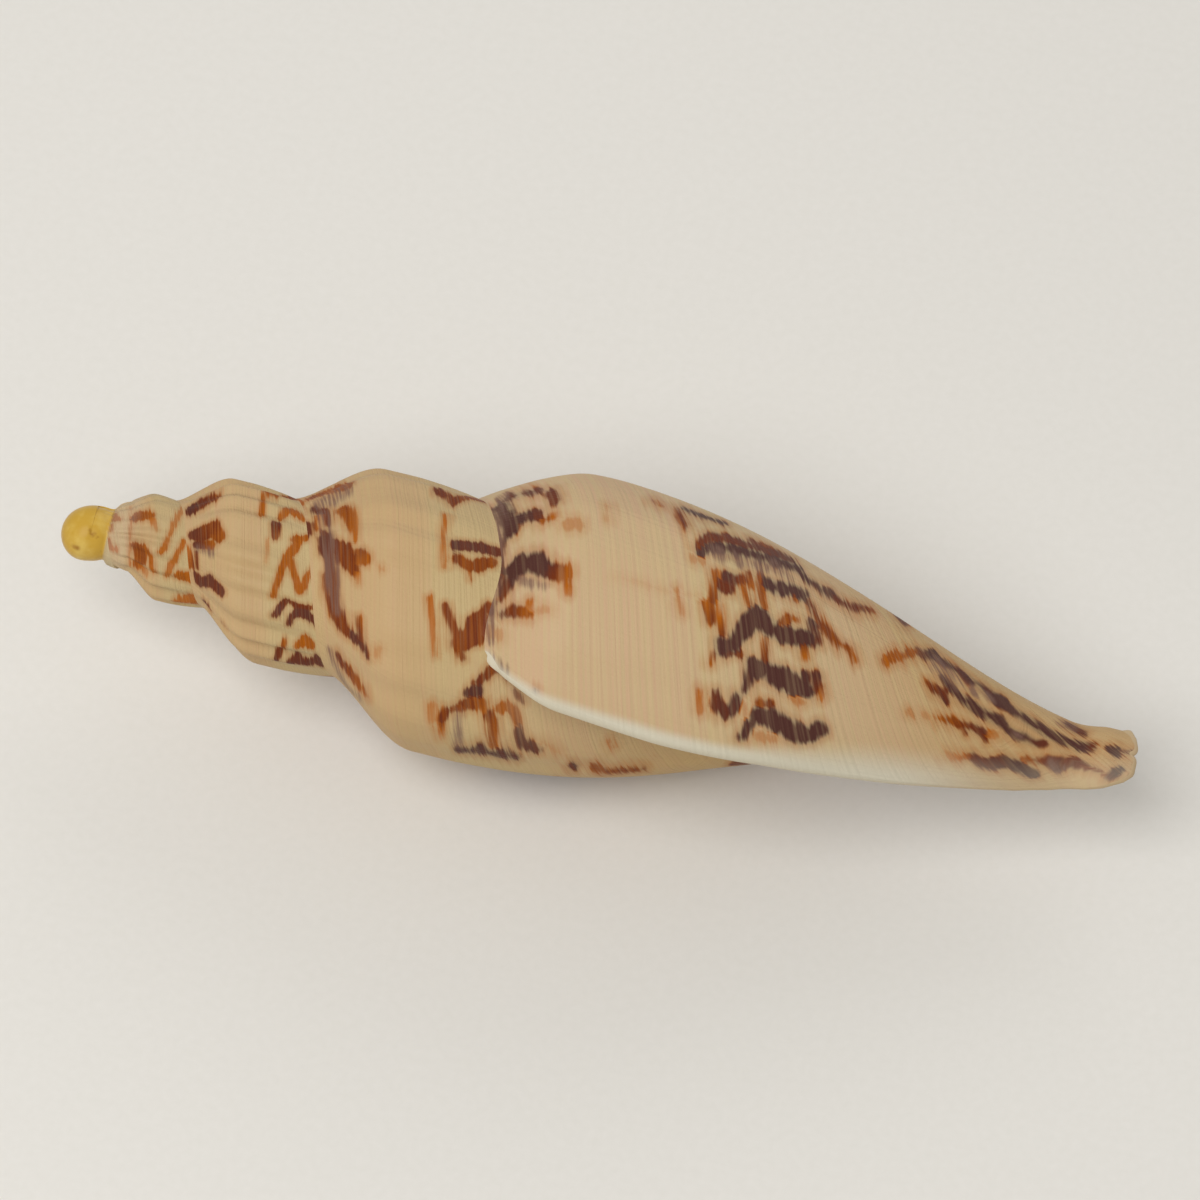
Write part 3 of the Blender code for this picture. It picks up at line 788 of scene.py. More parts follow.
def valuesOutside(turn, height):
    # what the material reads at each place: growth distance and height now along its own growth line,
    # depth and tone of the marks, depth of the rubbed places (worn, partly a painted sheen), white by the
    # distance to the lip, glaze by the distance past the older lip, and 0 for the cap
    turn, height = np.broadcast_arrays(turn, height)
    grown = turn - lipTurn(height)
    grown = turn - lipTurn(nowHeight(grown, height))
    depth, tone = depthInStrokes(turn, height, markRows)
    rubAndSheen = depthInStrokes(turn, height, rubbedAndSheenRows)[0]
    toLip = (lipTurn(height) - turn) * 2 * np.pi * outline(turn, height, True)
    wide = np.interp(height, zones["lipHeights"], zones["lipWidths"])
    fade = zones["lipFade"] + zones["lipFadeMore"] * easeStep(height, *zones["lipFadeGrows"])
    lip = (1 - easeStep(toLip, wide, fade)) * (1 - zones["lipLoss"] * easeStep(height, *zones["lipThins"]))
    past = (turn - lipTurn(height) + 1) * 2 * np.pi * zones["glazeRadius"]
    glaze = np.interp(past, zones["glazeWay"], zones["glazeShare"]) * (past > -1)
    glaze = glaze * easeStep(height - sutureHeight(turn + 1), *zones["glazeRises"])
    return np.stack([growthAt(grown), nowHeight(grown, height), depth, tone, rubAndSheen, lip, glaze,
                     np.zeros(turn.shape)], axis=-1)


def valuesInside(turn, height, lip, glaze):
    # the same for the inside, which has no marks
    turn, height, lip, glaze = np.broadcast_arrays(turn, height, lip, glaze)
    nothing = np.zeros(turn.shape)
    return np.stack([growthAt(turn - lipTurn(height)), height, nothing + noMark, nothing, nothing + noMark,
                     lip, glaze, nothing], axis=-1)


# The skin as a mesh

valueColumns = {"marks": 2, "lip": 5, "cap": 7, "all": 8}    # where they stand in what the material reads
skin = {"points": [], "count": 0, "quads": [], "quadValues": [], "triangles": [], "triangleValues": []}


def addPoints(points):
    # the points' numbers, in the shape that the points came in
    skin["points"].append(points.reshape(-1, 3))
    first = skin["count"]
    skin["count"] += len(skin["points"][-1])
    return np.arange(first, skin["count"]).reshape(points.shape[:-1])


def addQuads(grid, values, inward=False):
    # every square of a grid, with the values at its corners
    order = [(0, 0), (1, 0), (1, 1), (0, 1)]
    if inward:
        order.reverse()
    columns, rows = grid.shape[0] - 1, grid.shape[1] - 1
    corners = [np.s_[i:columns + i, j:rows + j] for i, j in order]
    skin["quads"].append(np.stack([grid[corner] for corner in corners], -1).reshape(-1, 4))
    corners = np.stack([values[corner] for corner in corners], -2)
    skin["quadValues"].append(corners.reshape(-1, 4, values.shape[-1]))


def addTriangles(numbers, values):
    # those with a corner named twice are left out
    a, b, c = numbers.T
    whole = (a != b) & (b != c) & (c != a)
    skin["triangles"].append(numbers[whole])
    skin["triangleValues"].append(values[whole])


def addFan(grid, values, *corners):
    # one triangle for each step along these three runs of the grid
    addTriangles(*(np.stack([table[corner] for corner in corners], axis=1) for table in (grid, values)))


def addStrip(first, firstValues, second, secondValues, inward=False):
    # triangles between two rows of any length: the points of both in the order of their share
    a, b = len(first) - 1, len(second) - 1
    order = np.argsort(np.concatenate([np.arange(1, a + 1) / a, np.arange(1, b + 1) / b]), kind="stable")
    onFirst = order < a
    i, j = np.cumsum(onFirst), np.cumsum(~onFirst)
    picks = []
    for row, other in ((first, second), (firstValues, secondValues)):
        pick = onFirst.reshape(-1, *[1] * (row.ndim - 1))
        one = row[np.where(onFirst, i - 1, i)]
        two = np.where(pick, row[i], other[j])
        three = np.where(pick, other[j], other[j - 1])
        picks.append(np.stack([one, three, two] if inward else [one, two, three], axis=1))
    addTriangles(*picks)


def addCap():
    # a ball, centre - radius * cos(angle) high and radius * sin(angle) wide, cut off at the first suture
    columns, rings = fineness["columns"], fineness["capRings"]
    turns = columnTurns[spireFirst:spireFirst + columns]
    angle = math.acos((capShape["centre"] - capEdge) / capShape["radius"]) * np.arange(rings + 1) / rings
    heights = capShape["centre"] - capShape["radius"] * np.cos(angle)
    radii = capShape["radius"] * np.sin(angle)
    radii[-1] = capShape["rim"]
    grid = np.zeros((columns + 1, rings + 1), int)
    grid[:, 0] = addPoints(place(0.0, heights[0], 0.0)[None])
    grid[:-1, 1:] = addPoints(place(turns[:, None], heights[1:], radii[1:]))
    grid[-1, 1:] = grid[0, 1:]
    values = valuesInside(np.append(turns, turns[0] + 1)[:, None], heights[None, :], 0.0, 0.0).copy()
    smudgeTurn, smudgeHeight, smudgeWidth = capShape["smudge"]
    aside = (turns - smudgeTurn + 0.5) % 1 - 0.5
    aside = 2 * np.pi * capShape["radius"] * np.append(aside, aside[0])[:, None]
    values[..., valueColumns["cap"]] = 1 + bell(np.hypot(aside, heights - smudgeHeight), smudgeWidth)
    addQuads(grid[:, 1:], values[:, 1:])
    addFan(grid, values, np.s_[:-1, 0], np.s_[1:, 1], np.s_[:-1, 1])
    return grid[:, -1]


def addSpire(rim):
    # a band from one suture to the next, low + (high - low) * share, with no width where it starts
    share = np.linspace(0, 1, fineness["spireRows"] + 1)
    turns = columnTurns[spireFirst:bodyFirst + 1]
    low, high = sutureHeight(turns), sutureHeight(turns + 1)
    heights = low[:, None] + (high - low)[:, None] * share
    radii = outline(turns[:, None], heights)
    radii[:, -1] = sutureRadius(turns + 1) - apexDips(turns + 1, high)
    grid = np.zeros(heights.shape, int)
    grid[0] = rim[0]
    grid[1:, 1:] = addPoints(place(turns[:, None], heights, radii)[1:, 1:])
    columns = fineness["columns"]
    grid[1:columns, 0] = rim[1:columns]
    grid[columns:, 0] = grid[:len(turns) - columns, -1]
    values = valuesOutside(turns[:, None], heights).copy()
    lip, cap, blur = valueColumns["lip"], valueColumns["cap"], capShape["seamBlur"]
    pale = capShape["neckPale"] * (1 - easeStep(heights, *capShape["paleEnds"]))
    values[..., lip] = np.maximum(values[..., lip], pale)
    values[..., cap] = 1 - easeStep(heights, capShape["seam"] - blur / 2, blur)
    addQuads(grid[1:], values[1:])
    addFan(grid, values, np.s_[0, :-1], np.s_[1, :-1], np.s_[1, 1:])
    return grid


def bodyRows():
    # heights down the first column: the spire's rows, the lip's thickness, then the rest
    low, high = (float(sutureHeight(turn)) for turn in (lipStart - 1, lipStart))
    corner = float(hollowEnds(np.array([1.0]))[0][0])
    spire = np.linspace(low, high, fineness["spireRows"] + 1)
    edge = np.linspace(high, corner, fineness["edgeRows"] + 1)[1:]
    rest = np.linspace(corner, growth["tip"], fineness["bodyRows"] + 1)[1:]
    return np.concatenate([spire, edge, rest])


def addBody(spire, rows):
    # the last whorl, from under the lip once round to the lip's edge, and from its suture down to the tip
    share = (rows - rows[0]) / (growth["tip"] - rows[0])
    around = columnTurns[bodyFirst:] - columnTurns[bodyFirst]
    low = sutureHeight(lipStart - 1 + around)
    heights = low[:, None] + (growth["tip"] - low)[:, None] * share
    turns = lipTurn(heights) - 1 + around[:, None]
    points = place(turns, heights, outline(turns, heights))
    joined = fineness["spireRows"] + 1
    grid = np.zeros(heights.shape, int)
    grid[:, 0] = spire[len(spire) - 1 - fineness["columns"]:, -1]
    grid[0, :joined] = spire[-1]
    grid[0, joined:] = addPoints(points[0, joined:])
    grid[1:, 1:] = addPoints(points[1:, 1:])
    values = valuesOutside(turns, heights)
    addQuads(grid, values)
    return grid, values


def innerFace(turns, heights):
    # points on the wall's inner face: the outline less the wall's thickness
    return place(turns, heights, outline(turns, heights) - wallThickness(turns, heights))


def addHollow(body, bodyValues, rows):
    # the outer wall's inner face, and the older whorl and the column that it faces
    step = fineness["hollowStep"]
    corner = fineness["spireRows"] + fineness["edgeRows"]
    outerShare = (rows[::2] - rows[0]) / (growth["tip"] - rows[0])
    innerShare = (rows[corner::2] - rows[corner]) / (growth["tip"] - rows[corner])
    first = int(round(fineness["columns"] * (fineness["whorls"] - fineness["hollowTurns"])))
    fine = columnTurns[bodyFirst:] - columnTurns[bodyFirst]
    around = columnTurns[first::step] - columnTurns[bodyFirst]
    low, high = hollowEnds(around)
    closed = int((high >= growth["tip"] - 1e-9).argmax()) - 1     # last column before the canal opens
    high[closed] = growth["tip"]

    heights = low[:, None] + (high - low)[:, None] * innerShare
    turns = lipTurn(heights) - 2 + around[:, None]
    innerValues = valuesInside(turns, heights, 0.0, 1.0)
    inner = np.zeros(heights.shape, int)
    inner[:-1] = addPoints(place(turns, heights, outline(turns, heights))[:-1])

    heights = low[:, None] + (high - low)[:, None] * outerShare
    turns = lipTurn(heights) - 1 + around[:, None]
    outerValues = valuesInside(turns, heights, 0.0, 1.0)
    outer = np.zeros(heights.shape, int)
    outer[:, 0] = inner[:, 0]
    outer[:-1, 1:-1] = addPoints(innerFace(turns, heights)[:-1, 1:-1])
    outer[:closed + 1, -1] = inner[:closed + 1, -1]

    # the lip's inner line and the canal end's, as fine as the outside
    lipLow = float(low[-1])
    lipHeights = lipLow + (growth["tip"] - lipLow) * (rows - rows[0]) / (growth["tip"] - rows[0])
    lipTurns = lipTurn(lipHeights)
    lipLine = np.zeros(lipHeights.size, int)
    lipLine[0] = body[0, corner]
    lipLine[1:] = addPoints(innerFace(lipTurns, lipHeights)[1:])
    opening = fine[fine > around[closed] + 1e-9][:-1]
    endTurns = float(lipTurn(growth["tip"])) - 1 + opening
    endLine = np.zeros(opening.size + 2, int)
    endLine[0] = inner[closed, -1]
    endLine[1:-1] = addPoints(innerFace(endTurns, growth["tip"]))
    endLine[-1] = lipLine[-1]
    lipValues = valuesInside(lipTurns, lipHeights, zones["innerLip"], 1.0)
    endTurns = np.concatenate([[endTurns[0]], endTurns, [0.0]])
    endValues = valuesInside(endTurns, growth["tip"], zones["innerLip"], 1.0)

    addQuads(outer[:-1, :-1], outerValues[:-1, :-1], inward=True)
    addQuads(outer[:closed + 1, -2:], outerValues[:closed + 1, -2:], inward=True)
    addStrip(outer[closed:-1, -2], outerValues[closed:-1, -2], endLine, endValues, inward=True)
    addStrip(outer[-2, :-1], outerValues[-2, :-1], lipLine, lipValues)
    addQuads(inner[:-1], innerValues[:-1])
    addStrip(inner[-2], innerValues[-2], body[0, corner:], bodyValues[0, corner:], inward=True)
    addStrip(inner[0], innerValues[0], outer[0], outerValues[0])
    return inner[closed:-1, -1], lipLine, endLine


def addEdge(body, rim, lipLine, endLine):
    # the rounded edge down the lip and back round the end of the canal, across * share and out by half
    # the thickness * sin(pi * share), then the column's end
    rows = fineness["edgeRows"]
    start = len(body) - len(endLine)
    outside = np.concatenate([body[-1], body[start:-1, -1][::-1]])
    inside = np.concatenate([lipLine, endLine[:-1][::-1]])
    points = np.concatenate(skin["points"])
    across = points[inside] - points[outside]
    along = np.gradient((points[inside] + points[outside]) / 2, axis=0)
    out = np.cross(across, along)
    out *= np.linalg.norm(across, axis=1, keepdims=True) / np.linalg.norm(out, axis=1, keepdims=True)
    share = np.arange(1, rows)[None, :, None] / rows
    bulge = points[outside][:, None] + across[:, None] * share + out[:, None] * 0.5 * np.sin(np.pi * share)
    grid = np.zeros((outside.size, rows + 1), int)
    grid[:, 0] = outside
    grid[:, -1] = inside
    grid[1:, 1:-1] = addPoints(bulge[1:])
    grid[0, 1:-1] = body[0, fineness["spireRows"] + 1:fineness["spireRows"] + rows]
    heights = points[outside][:, :1]
    white = 1 - zones["lipLoss"] * easeStep(heights, *zones["edgeThins"])
    glaze = np.linspace(0, zones["edgeGlaze"], rows + 1)[None, :] * white
    values = valuesInside(lipTurn(heights), heights, white, glaze)
    addQuads(grid, values, inward=True)
    loop = np.concatenate([rim, [body[0, -1]], body[1:start + 1, -1], grid[-1, 1:-1]])
    numbers = np.stack([np.full(len(loop) - 2, loop[0]), loop[1:-1], loop[2:]], axis=1)
    addTriangles(numbers, np.broadcast_to(values[-1, 0], (len(numbers), 3, values.shape[-1])))


# How it lies: pitched about the world's Y after it is rolled about its own axis

pitched = Matrix.Rotation(math.radians(lying["pitch"]), 3, "Y")
toWorld = pitched @ Matrix.Rotation(-math.radians(lying["roll"]), 3, "X")


def layDown(points):
    # turned as it lies, set into the box of the solid, and flat where it rests
    turned = points @ np.array(toWorld).T * mm
    low, high = (np.array(corner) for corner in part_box("shell"))
    shift = (low + high) / 2 - (turned.min(0) + turned.max(0)) / 2
    shift[2] = high[2] - turned[:, 2].max()
    turned += shift
    turned[:, 2] = np.maximum(turned[:, 2], 0)
    return turned, Vector(shift)


def addObject(name, data):
    # an object of the scene, neither turned nor scaled
    thing = bpy.data.objects.new(name, data)
    bpy.context.scene.collection.objects.link(thing)
    return thing


uvSpan = 100.0                # mm to one unit of the UV map


def buildShell():
    # cap, spire, last whorl, hollow and edge in one mesh, with what the material reads at each corner
    spire = addSpire(addCap())
    rows = bodyRows()
    body, bodyValues = addBody(spire, rows)
    rim, lipLine, endLine = addHollow(body, bodyValues, rows)
    addEdge(body, rim, lipLine, endLine)

    points, shift = layDown(np.concatenate(skin["points"]))
    quads, triangles = np.concatenate(skin["quads"]), np.concatenate(skin["triangles"])
    corners = [np.concatenate(skin[key]) for key in ("quadValues", "triangleValues")]
    values = np.concatenate([some.reshape(-1, valueColumns["all"]) for some in corners])
    mesh = bpy.data.meshes.new("seashell")
    mesh.from_pydata(points, [], quads.tolist() + triangles.tolist())
    layer = mesh.uv_layers.new(name="growthThread")
    layer.data.foreach_set("uv", (values[:, :2] / uvSpan).astype(np.float32).ravel())
    for name, first in (("marks", valueColumns["marks"]), ("zones", valueColumns["lip"])):
        attribute = mesh.attributes.new(name, "FLOAT_VECTOR", "CORNER")
        attribute.data.foreach_set("vector", values[:, first:first + 3].astype(np.float32).ravel())
    mesh.shade_smooth()
    mesh.set_sharp_from_angle(angle=math.radians(fineness["sharpAngle"]))
    shell = addObject("seashell", mesh)
    print("shell:", len(points), "points,", 2 * len(quads) + len(triangles), "triangles")
    return shell, shift


# Materials


def linear(hexColour):
    # sRGB hex to linear: ((c + 0.055) / 1.055)^2.4, or c / 12.92 when dark
    channels = [int(hexColour[k:k + 2], 16) / 255 for k in (1, 3, 5)]
    return (*[c / 12.92 if c <= 0.04045 else ((c + 0.055) / 1.055) ** 2.4 for c in channels], 1)


def emptyMaterial(name):
    # a material with no nodes yet, and its tree
    material = bpy.data.materials.new(name)
    material.use_nodes = True
    material.node_tree.nodes.clear()
    return material, material.node_tree


def addNode(tree, kind, settings=None, inputs=None):
    # one node: its settings by name, its inputs by name or number, each a value, a hex colour,
    # a socket, or a node whose first output is linked
    node = tree.nodes.new("ShaderNode" + kind)
    for name, value in (settings or {}).items():
        setattr(node, name, value)
    for name, value in (inputs or {}).items():
        socket = node.inputs[name]
        if isinstance(value, bpy.types.Node):
            value = value.outputs[0]
        if isinstance(value, bpy.types.NodeSocket):
            tree.links.new(value, socket)
        else:
            socket.default_value = linear(value) if isinstance(value, str) else value
    return node


shellLook = {
    "sand": "#c3a981",          # ground colour
    "blush": "#c5a481",         # threads that lean to pink
    "straw": "#c6ae82",         # and to straw
    "honey": "#b6935c",         # older whorls, and the canal
    "cream": "#bfac7d",         # round the zigzags
    "orange": "#a85a06",        # tips of the marks
    "brown": "#6d2d0c",
    "plum": "#502e27",          # thick parts of the marks
    "brownAt": 0.4,             # tone of brown and of plum, where orange is 0
    "plumAt": 0.8,
    "lilac": "#785a4d",         # rubbed marks, partly worn colour and partly a painted sheen
    "lipWhite": "#d0cab6",
    "porcelain": "#ccb995",     # glazed inside
    "lipCover": 0.9,            # share of the colour under them that they hide
    "glazeCover": 0.9,
    "capYellow": "#c29a3c",
    "capPale": "#cfae58",
    "capBrown": "#8c5a1c",
    "fineFinger": 1.1,          # mm, how much the noise of the same name moves the marks' edges
    "wideFinger": 1.7,
    "waver": 0.7,
    "fingerTurns": (-1.4, -0.7),    # between these turns that grows to its whole size
    "leastFinger": 0.4,             # from this share of it
    "coreSwing": 0.35,          # share of it that the dark middle of a mark follows
    "mottle": 0.6,              # change of tone within a mark
    "threadSpacing": 1.05,      # mm
    "threadWander": 1.6,        # mm, how much a thread strays
    "threadRelief": 0.008,      # mm up and down, then the height of each noise in mm
    "roughThread": 0.11,
    "growthLine": 0.1,
    "grain": 0.03,
    "glazeSmooths": 0.85,       # share of the relief that the glaze fills
    "roughness": 0.55,
    "glazeRoughness": 0.28,
    "ior": 1.5,
    "specular": 0.12,           # a worn shell hardly shines
    "coat": 0.04,
    "coatRoughness": 0.3,
}

# Noise drawn out along the threads: mm along the growth, mm across the threads, detail, seed.
# Growth lines and grain are drawn coarser than on a real shell, so that they show.
shellGrains = {
    "thread": (45, 0.5, 2, 3),
    "wideThread": (60, 1.6, 2, 8),
    "season": (9, 60, 3, 5),
    "fineFinger": (7, 0.42, 1, 1),
    "wideFinger": (8, 1.25, 1, 11),
    "waver": (3, 2.2, 2, 2),
    "mottle": (11, 0.6, 3, 6),
    "streak": (25, 0.6, 1, 14),
    "wander": (30, 5, 2, 4),
    "roughThread": (35, 0.5, 2, 17),
    "growthLine": (0.5, 30, 3, 7),
    "grain": (0.6, 0.6, 3, 9),
}
shellSpots = {"patches": 22.222, "capTone": 2.381}    # mm, noise with no direction

# Each share: what it reads, where that starts and ends, and the share at the start and at the end.
# Noises run from 0 to 1. Growth, heights and depths are in mm.
shellShares = {
    "blush": ("thread", 0.38, 0.62, 0, 1),
    "straw": ("wideThread", 0.45, 0.75, 0, 0.7),
    "season": ("season", 0.5, 0.8, 0, 0.4),
    "older": ("grown", growthAt(-0.40), growthAt(-0.85), 0, 0.4),
    "olderPatches": ("patches", 0.2, 0.6, 0.7, 1),
    "canal": ("across", 97, 121, 0, 0.55),
    "cream": ("across", 78, 84, 0, 1),
    "creamEnd": ("across", 96, 104, 1, 0),
    "creamPatches": ("patches", 0.3, 0.6, 0.15, 0.55),
    "marks": ("fine", -0.52, 0.42, 0, 1),
    "halo": ("fine", -1.3, 0, 0, 0.36),
    "streak": ("streak", 0.45, 0.75, 1, 0.86),
    "core": ("blend", -0.3, 0.3, 0.15, 1),
    "browner": ("grown", growthAt(-1.1), growthAt(-0.5), 0.7, 1),
    # rubbed places: worn colour with a painted sheen of light on the threads
    "rubbedAndSheen": ("rubbedAndSheen", -0.4, 0.5, 0, 0.8),
    "rubbedAndSheenGaps": ("fineFinger", 0.35, 0.62, 0.3, 1),
    "capPale": ("capTone", 0.4, 0.7, 0, 1),
    "capSpots": ("capTone", 0.2, 0.34, 1, 0),
    "smudge": ("cap", 1.05, 1.9, 0, 0.8),
}


def shellLime():
    # Shell lime (aragonite), grown in layers and a little worn: satin, with threads and growth lines
    look = shellLook
    colours, smooth = {"data_type": "RGBA"}, {"interpolation_type": "SMOOTHSTEP"}
    subtract, times = {"operation": "SUBTRACT"}, {"operation": "MULTIPLY"}
    timesAdd, most = {"operation": "MULTIPLY_ADD"}, {"operation": "MAXIMUM"}
    material, tree = emptyMaterial("shellLime")

    # what the mesh says at each place, and the noises
    uv = addNode(tree, "UVMap", {"uv_map": "growthThread"})
    inMm = addNode(tree, "VectorMath", {"operation": "SCALE"}, {0: uv, "Scale": uvSpan})
    read = dict(zip(("grown", "across"), addNode(tree, "SeparateXYZ", None, {0: inMm}).outputs))
    for attribute, names in (("marks", ("depth", "tone", "rubAndSheen")), ("zones", ("lip", "glaze", "cap"))):
        vector = addNode(tree, "Attribute", {"attribute_name": attribute}).outputs["Vector"]
        read.update(zip(names, addNode(tree, "SeparateXYZ", None, {0: vector}).outputs))
    for name, (along, over, detail, seed) in shellGrains.items():
        drawn = addNode(tree, "Mapping", None, {
            0: inMm, "Scale": (1 / along, 1 / over, 1), "Location": (seed, seed * 1.7, seed),
        })
        read[name] = addNode(tree, "TexNoise", None, {"Vector": drawn, "Scale": 1.0, "Detail": detail})
    spot = addNode(tree, "TexCoord").outputs["Object"]
    for name, size in shellSpots.items():
        read[name] = addNode(tree, "TexNoise", None, {
            "Vector": spot, "Scale": 1 / (size * mm), "Detail": 3.0,
        })

    # depth inside a stroke, drawn out thread by thread, less so on the older whorls
    start, end = (growthAt(turn) for turn in look["fingerTurns"])
    coarse = addNode(tree, "MapRange", smooth, {0: read["grown"], 1: start, 2: end, 3: look["leastFinger"]})
    swing = 0.0
    for name in ("fineFinger", "wideFinger", "waver"):
        centred = addNode(tree, "Math", subtract, {0: read[name], 1: 0.5})
        swing = addNode(tree, "Math", timesAdd, {0: centred, 1: look[name], 2: swing})
    for name, amount, inside in (("rough", coarse, "depth"), ("blend", look["coreSwing"], "depth"),
                                 ("rubbedAndSheen", coarse, "rubAndSheen")):
        read[name] = addNode(tree, "Math", timesAdd, {0: swing, 1: amount, 2: read[inside]})
    read["fine"] = addNode(tree, "Math", {"operation": "DIVIDE"}, {0: read["rough"], 1: coarse})

    # the share of each layer of colour, and those that are made of several
    share = {}
    for name, (source, *ends) in shellShares.items():
        share[name] = addNode(tree, "MapRange", smooth, dict(enumerate((read[source], *ends))))
    share["faint"] = addNode(tree, "MapRange", None, {0: read["tone"], 1: -1.0, 2: 0.0})
    for name, operation, other in (
        ("older", times, "olderPatches"), ("older", most, "canal"),
        ("cream", times, "creamEnd"), ("cream", times, "creamPatches"),
        ("marks", times, "streak"), ("marks", most, "halo"), ("marks", times, "faint"),
        ("rubbedAndSheen", times, "rubbedAndSheenGaps"),
    ):
        share[name] = addNode(tree, "Math", operation, {0: share[name], 1: share[other]})
    for name, cover in (("lip", "lipCover"), ("glaze", "glazeCover")):
        share[name] = addNode(tree, "Math", times, {0: read[name], 1: look[cover]})

    # the marks' colour: a finger's tip stays orange, older marks are browner
    shade = addNode(tree, "Math", times, {0: read["tone"], 1: share["browner"]})
    mottle = addNode(tree, "Math", timesAdd, {0: read["mottle"], 1: look["mottle"], 2: -look["mottle"] / 2})
    shade = addNode(tree, "Math", {"operation": "MULTIPLY_ADD", "use_clamp": True},
                    {0: shade, 1: share["core"], 2: mottle})
    marks = addNode(tree, "ValToRGB", None, {0: shade})
    stops = marks.color_ramp.elements
    stops.new(look["brownAt"])
    stops[2].position = look["plumAt"]
    for stop, name in zip(stops, ("orange", "brown", "plum")):
        stop.color = linear(look[name])

    # the first shell, then all the layers one over the other
    capColour = look["capYellow"]
    for name, top in (("capPale", "capPale"), ("capSpots", "capBrown"), ("smudge", "capBrown")):
        capColour = addNode(tree, "Mix", colours, {0: share[name], 6: capColour, 7: look[top]}).outputs[2]
    colour = look["sand"]
    for amount, top in (
        (share["blush"], look["blush"]), (share["straw"], look["straw"]), (share["season"], look["straw"]),
        (share["older"], look["honey"]), (share["cream"], look["cream"]), (share["marks"], marks),
        # lilac over the rubbed places: partly wear, partly a painted sheen
        (share["rubbedAndSheen"], look["lilac"]), (share["lip"], look["lipWhite"]),
        (share["glaze"], look["porcelain"]), (read["cap"], capColour),
    ):
        colour = addNode(tree, "Mix", colours, {0: amount, 6: colour, 7: top}).outputs[2]

    # relief: spiral threads even and rough, growth lines and fine grain, little of it on the glaze
    wander = addNode(tree, "Math", timesAdd, {0: read["wander"], 1: look["threadWander"], 2: read["across"]})
    phase = addNode(tree, "Math", times, {0: wander, 1: 2 * math.pi / look["threadSpacing"]})
    wave = addNode(tree, "Math", {"operation": "SINE"}, {0: phase})
    height = addNode(tree, "Math", times, {0: wave, 1: look["threadRelief"] * mm})
    for name in ("roughThread", "growthLine", "grain"):
        height = addNode(tree, "Math", timesAdd, {0: read[name], 1: look[name] * mm, 2: height})
    filled = addNode(tree, "Math", times, {0: read["glaze"], 1: look["glazeSmooths"]})
    filled = addNode(tree, "Math", {"operation": "MAXIMUM", "use_clamp": True}, {0: filled, 1: read["cap"]})
    bare = addNode(tree, "Math", subtract, {0: 1.0, 1: filled})
    height = addNode(tree, "Math", times, {0: height, 1: bare})
    bump = addNode(tree, "Bump", None, {"Height": height, "Strength": 1.0, "Distance": 1.0})

    polish = addNode(tree, "Math", most, {0: read["glaze"], 1: read["cap"]})
    roughness = addNode(tree, "MapRange", None, {0: polish, 3: look["roughness"], 4: look["glazeRoughness"]})
    surface = addNode(tree, "BsdfPrincipled", None, {
        "Base Color": colour, "Roughness": roughness, "Normal": bump, "IOR": look["ior"],
        "Specular IOR Level": look["specular"], "Coat Weight": look["coat"],
        "Coat Roughness": look["coatRoughness"],
    })
    addNode(tree, "OutputMaterial", None, {0: surface})
    print("shell lime:", len(tree.nodes), "nodes,", len(shellShares), "shares of colour")
    return material


paperLook = {
    "pale": "#e4e1db",
    "shaded": "#dedbd4",
    "fibre": 1.1111,            # mm, drawn coarser than real fibres, so that it shows
    "roughness": 0.9,
}


def mattPaper():
    # Uncoated paper board: pale, matt, with a faint fibre grain
    material, tree = emptyMaterial("mattPaper")
    spot = addNode(tree, "TexCoord").outputs["Object"]
    fibre = addNode(tree, "TexNoise", None, {
        "Vector": spot, "Scale": 1 / (paperLook["fibre"] * mm), "Detail": 3.0,
    })
    tint = addNode(tree, "Mix", {"data_type": "RGBA"}, {
        0: fibre, 6: paperLook["shaded"], 7: paperLook["pale"],
    })
    surface = addNode(tree, "BsdfPrincipled", None, {
        "Base Color": tint.outputs[2], "Roughness": paperLook["roughness"],
    })
    addNode(tree, "OutputMaterial", None, {0: surface})
    return material


# Floor, light and camera

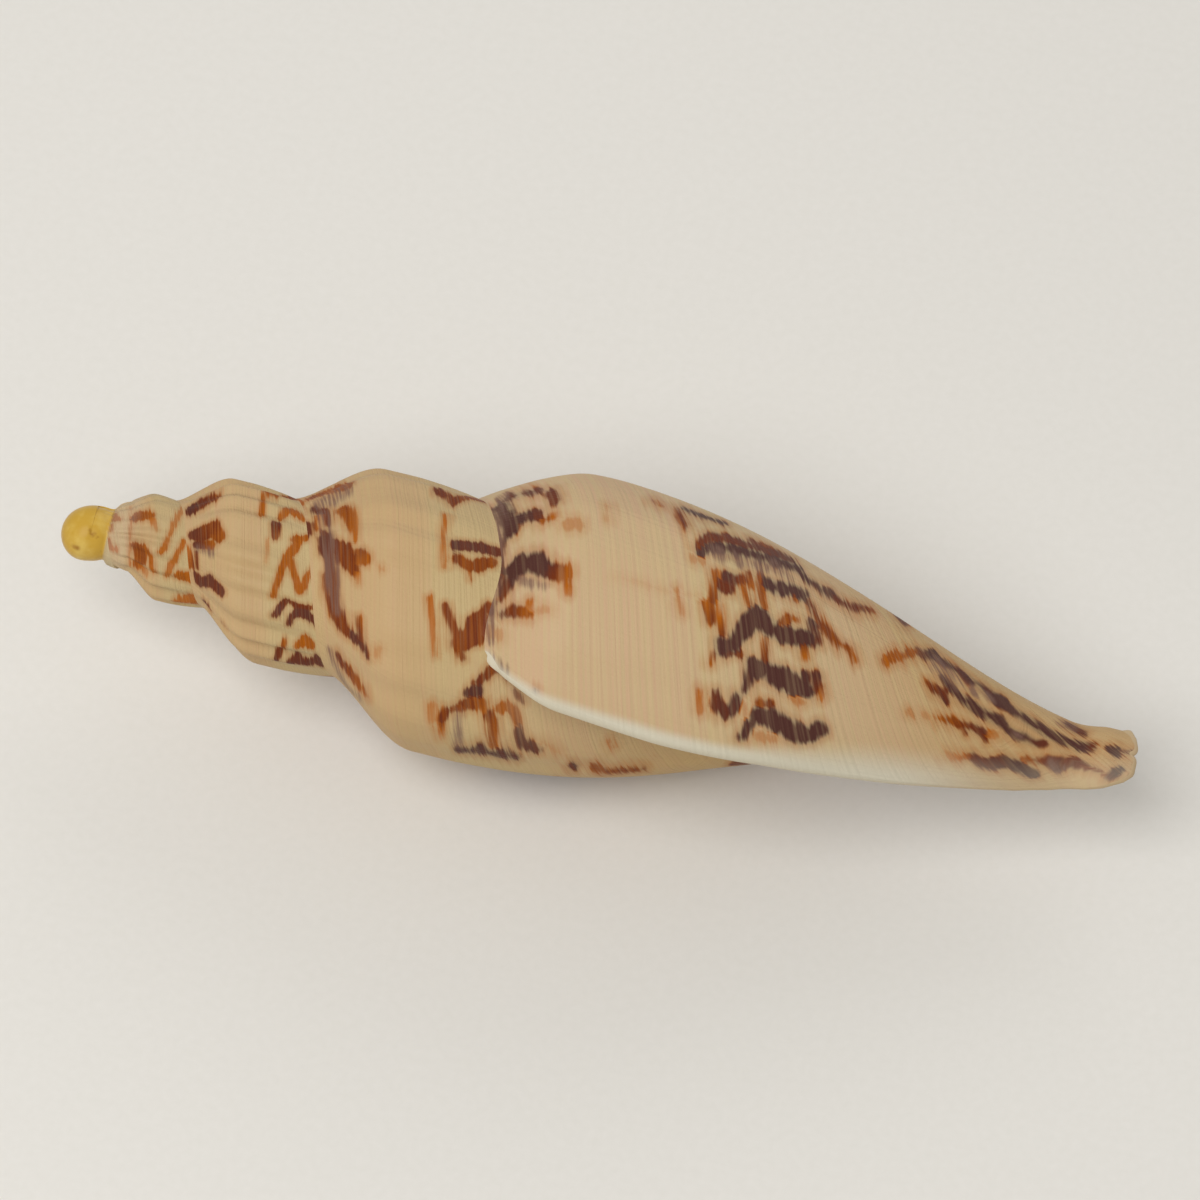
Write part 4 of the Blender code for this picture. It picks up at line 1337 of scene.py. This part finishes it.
stage = {
    "floorSize": 12.0,              # m
    "lookAt": (64.6, 0.0, 5.46),    # mm on the shell
    "tilt": 13.66,                  # degrees, the axis falls to the right in the picture
    "distance": 1.0,                # m
    "lens": 250.0,                  # mm, which shows a field of 144 mm
    "sensor": 36.0,
    "sky": "#f2f0ec",
    "skyStrength": 0.42,
}

# Each lamp: its place and its width in metres, and its power in watts
lamps = {
    "key": ((-0.3, -0.42, 0.85), 0.8, 7.2),
    "fill": ((0.2, 0.9, 0.45), 0.9, 2.6),
}


def addFloor():
    # one square, floorSize wide, at height 0
    half = stage["floorSize"] / 2
    mesh = bpy.data.meshes.new("floor")
    corners = [(x * half, y * half, 0) for x, y in ((-1, -1), (1, -1), (1, 1), (-1, 1))]
    mesh.from_pydata(corners, [], [(0, 1, 2, 3)])
    mesh.materials.append(mattPaper())
    return addObject("floor", mesh)


def addCamera(shift):
    # square to the shell's axis on the lip side, and turned by tilt: up is (-sin, 0, cos) on the shell
    tilt = math.radians(stage["tilt"])
    back = toWorld @ Vector((0, -1, 0))
    up = toWorld @ Vector((-math.sin(tilt), 0, math.cos(tilt)))
    data = bpy.data.cameras.new("camera")
    data.lens = stage["lens"]
    data.sensor_width = stage["sensor"]
    camera = addObject("camera", data)
    camera.matrix_world = Matrix((up.cross(back), up, back)).transposed().to_4x4()
    camera.location = toWorld @ Vector(stage["lookAt"]) * mm + shift + back * stage["distance"]
    bpy.context.scene.camera = camera


def addLamp(name, spot, width, power):
    # a round lamp that points at the origin
    data = bpy.data.lights.new(name, "AREA")
    data.shape = "DISK"
    data.size = width
    data.energy = power
    lamp = addObject(name, data)
    lamp.location = spot
    lamp.rotation_euler = Vector(spot).to_track_quat("Z", "Y").to_euler()


def addSky():
    # an even pale sky
    world = bpy.data.worlds.new("studio")
    world.use_nodes = True
    sky = world.node_tree.nodes["Background"]
    sky.inputs["Color"].default_value = linear(stage["sky"])
    sky.inputs["Strength"].default_value = stage["skyStrength"]
    bpy.context.scene.world = world


shell, shift = buildShell()
shell.data.materials.append(shellLime())
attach(shell, "root")
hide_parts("shell")

floor = addFloor()
addCamera(shift)
for name, (spot, width, power) in lamps.items():
    addLamp(name, spot, width, power)
addSky()
bpy.context.scene.view_settings.view_transform = "Standard"
print("stage: a floor,", len(lamps), "lamps, a sky and a camera")
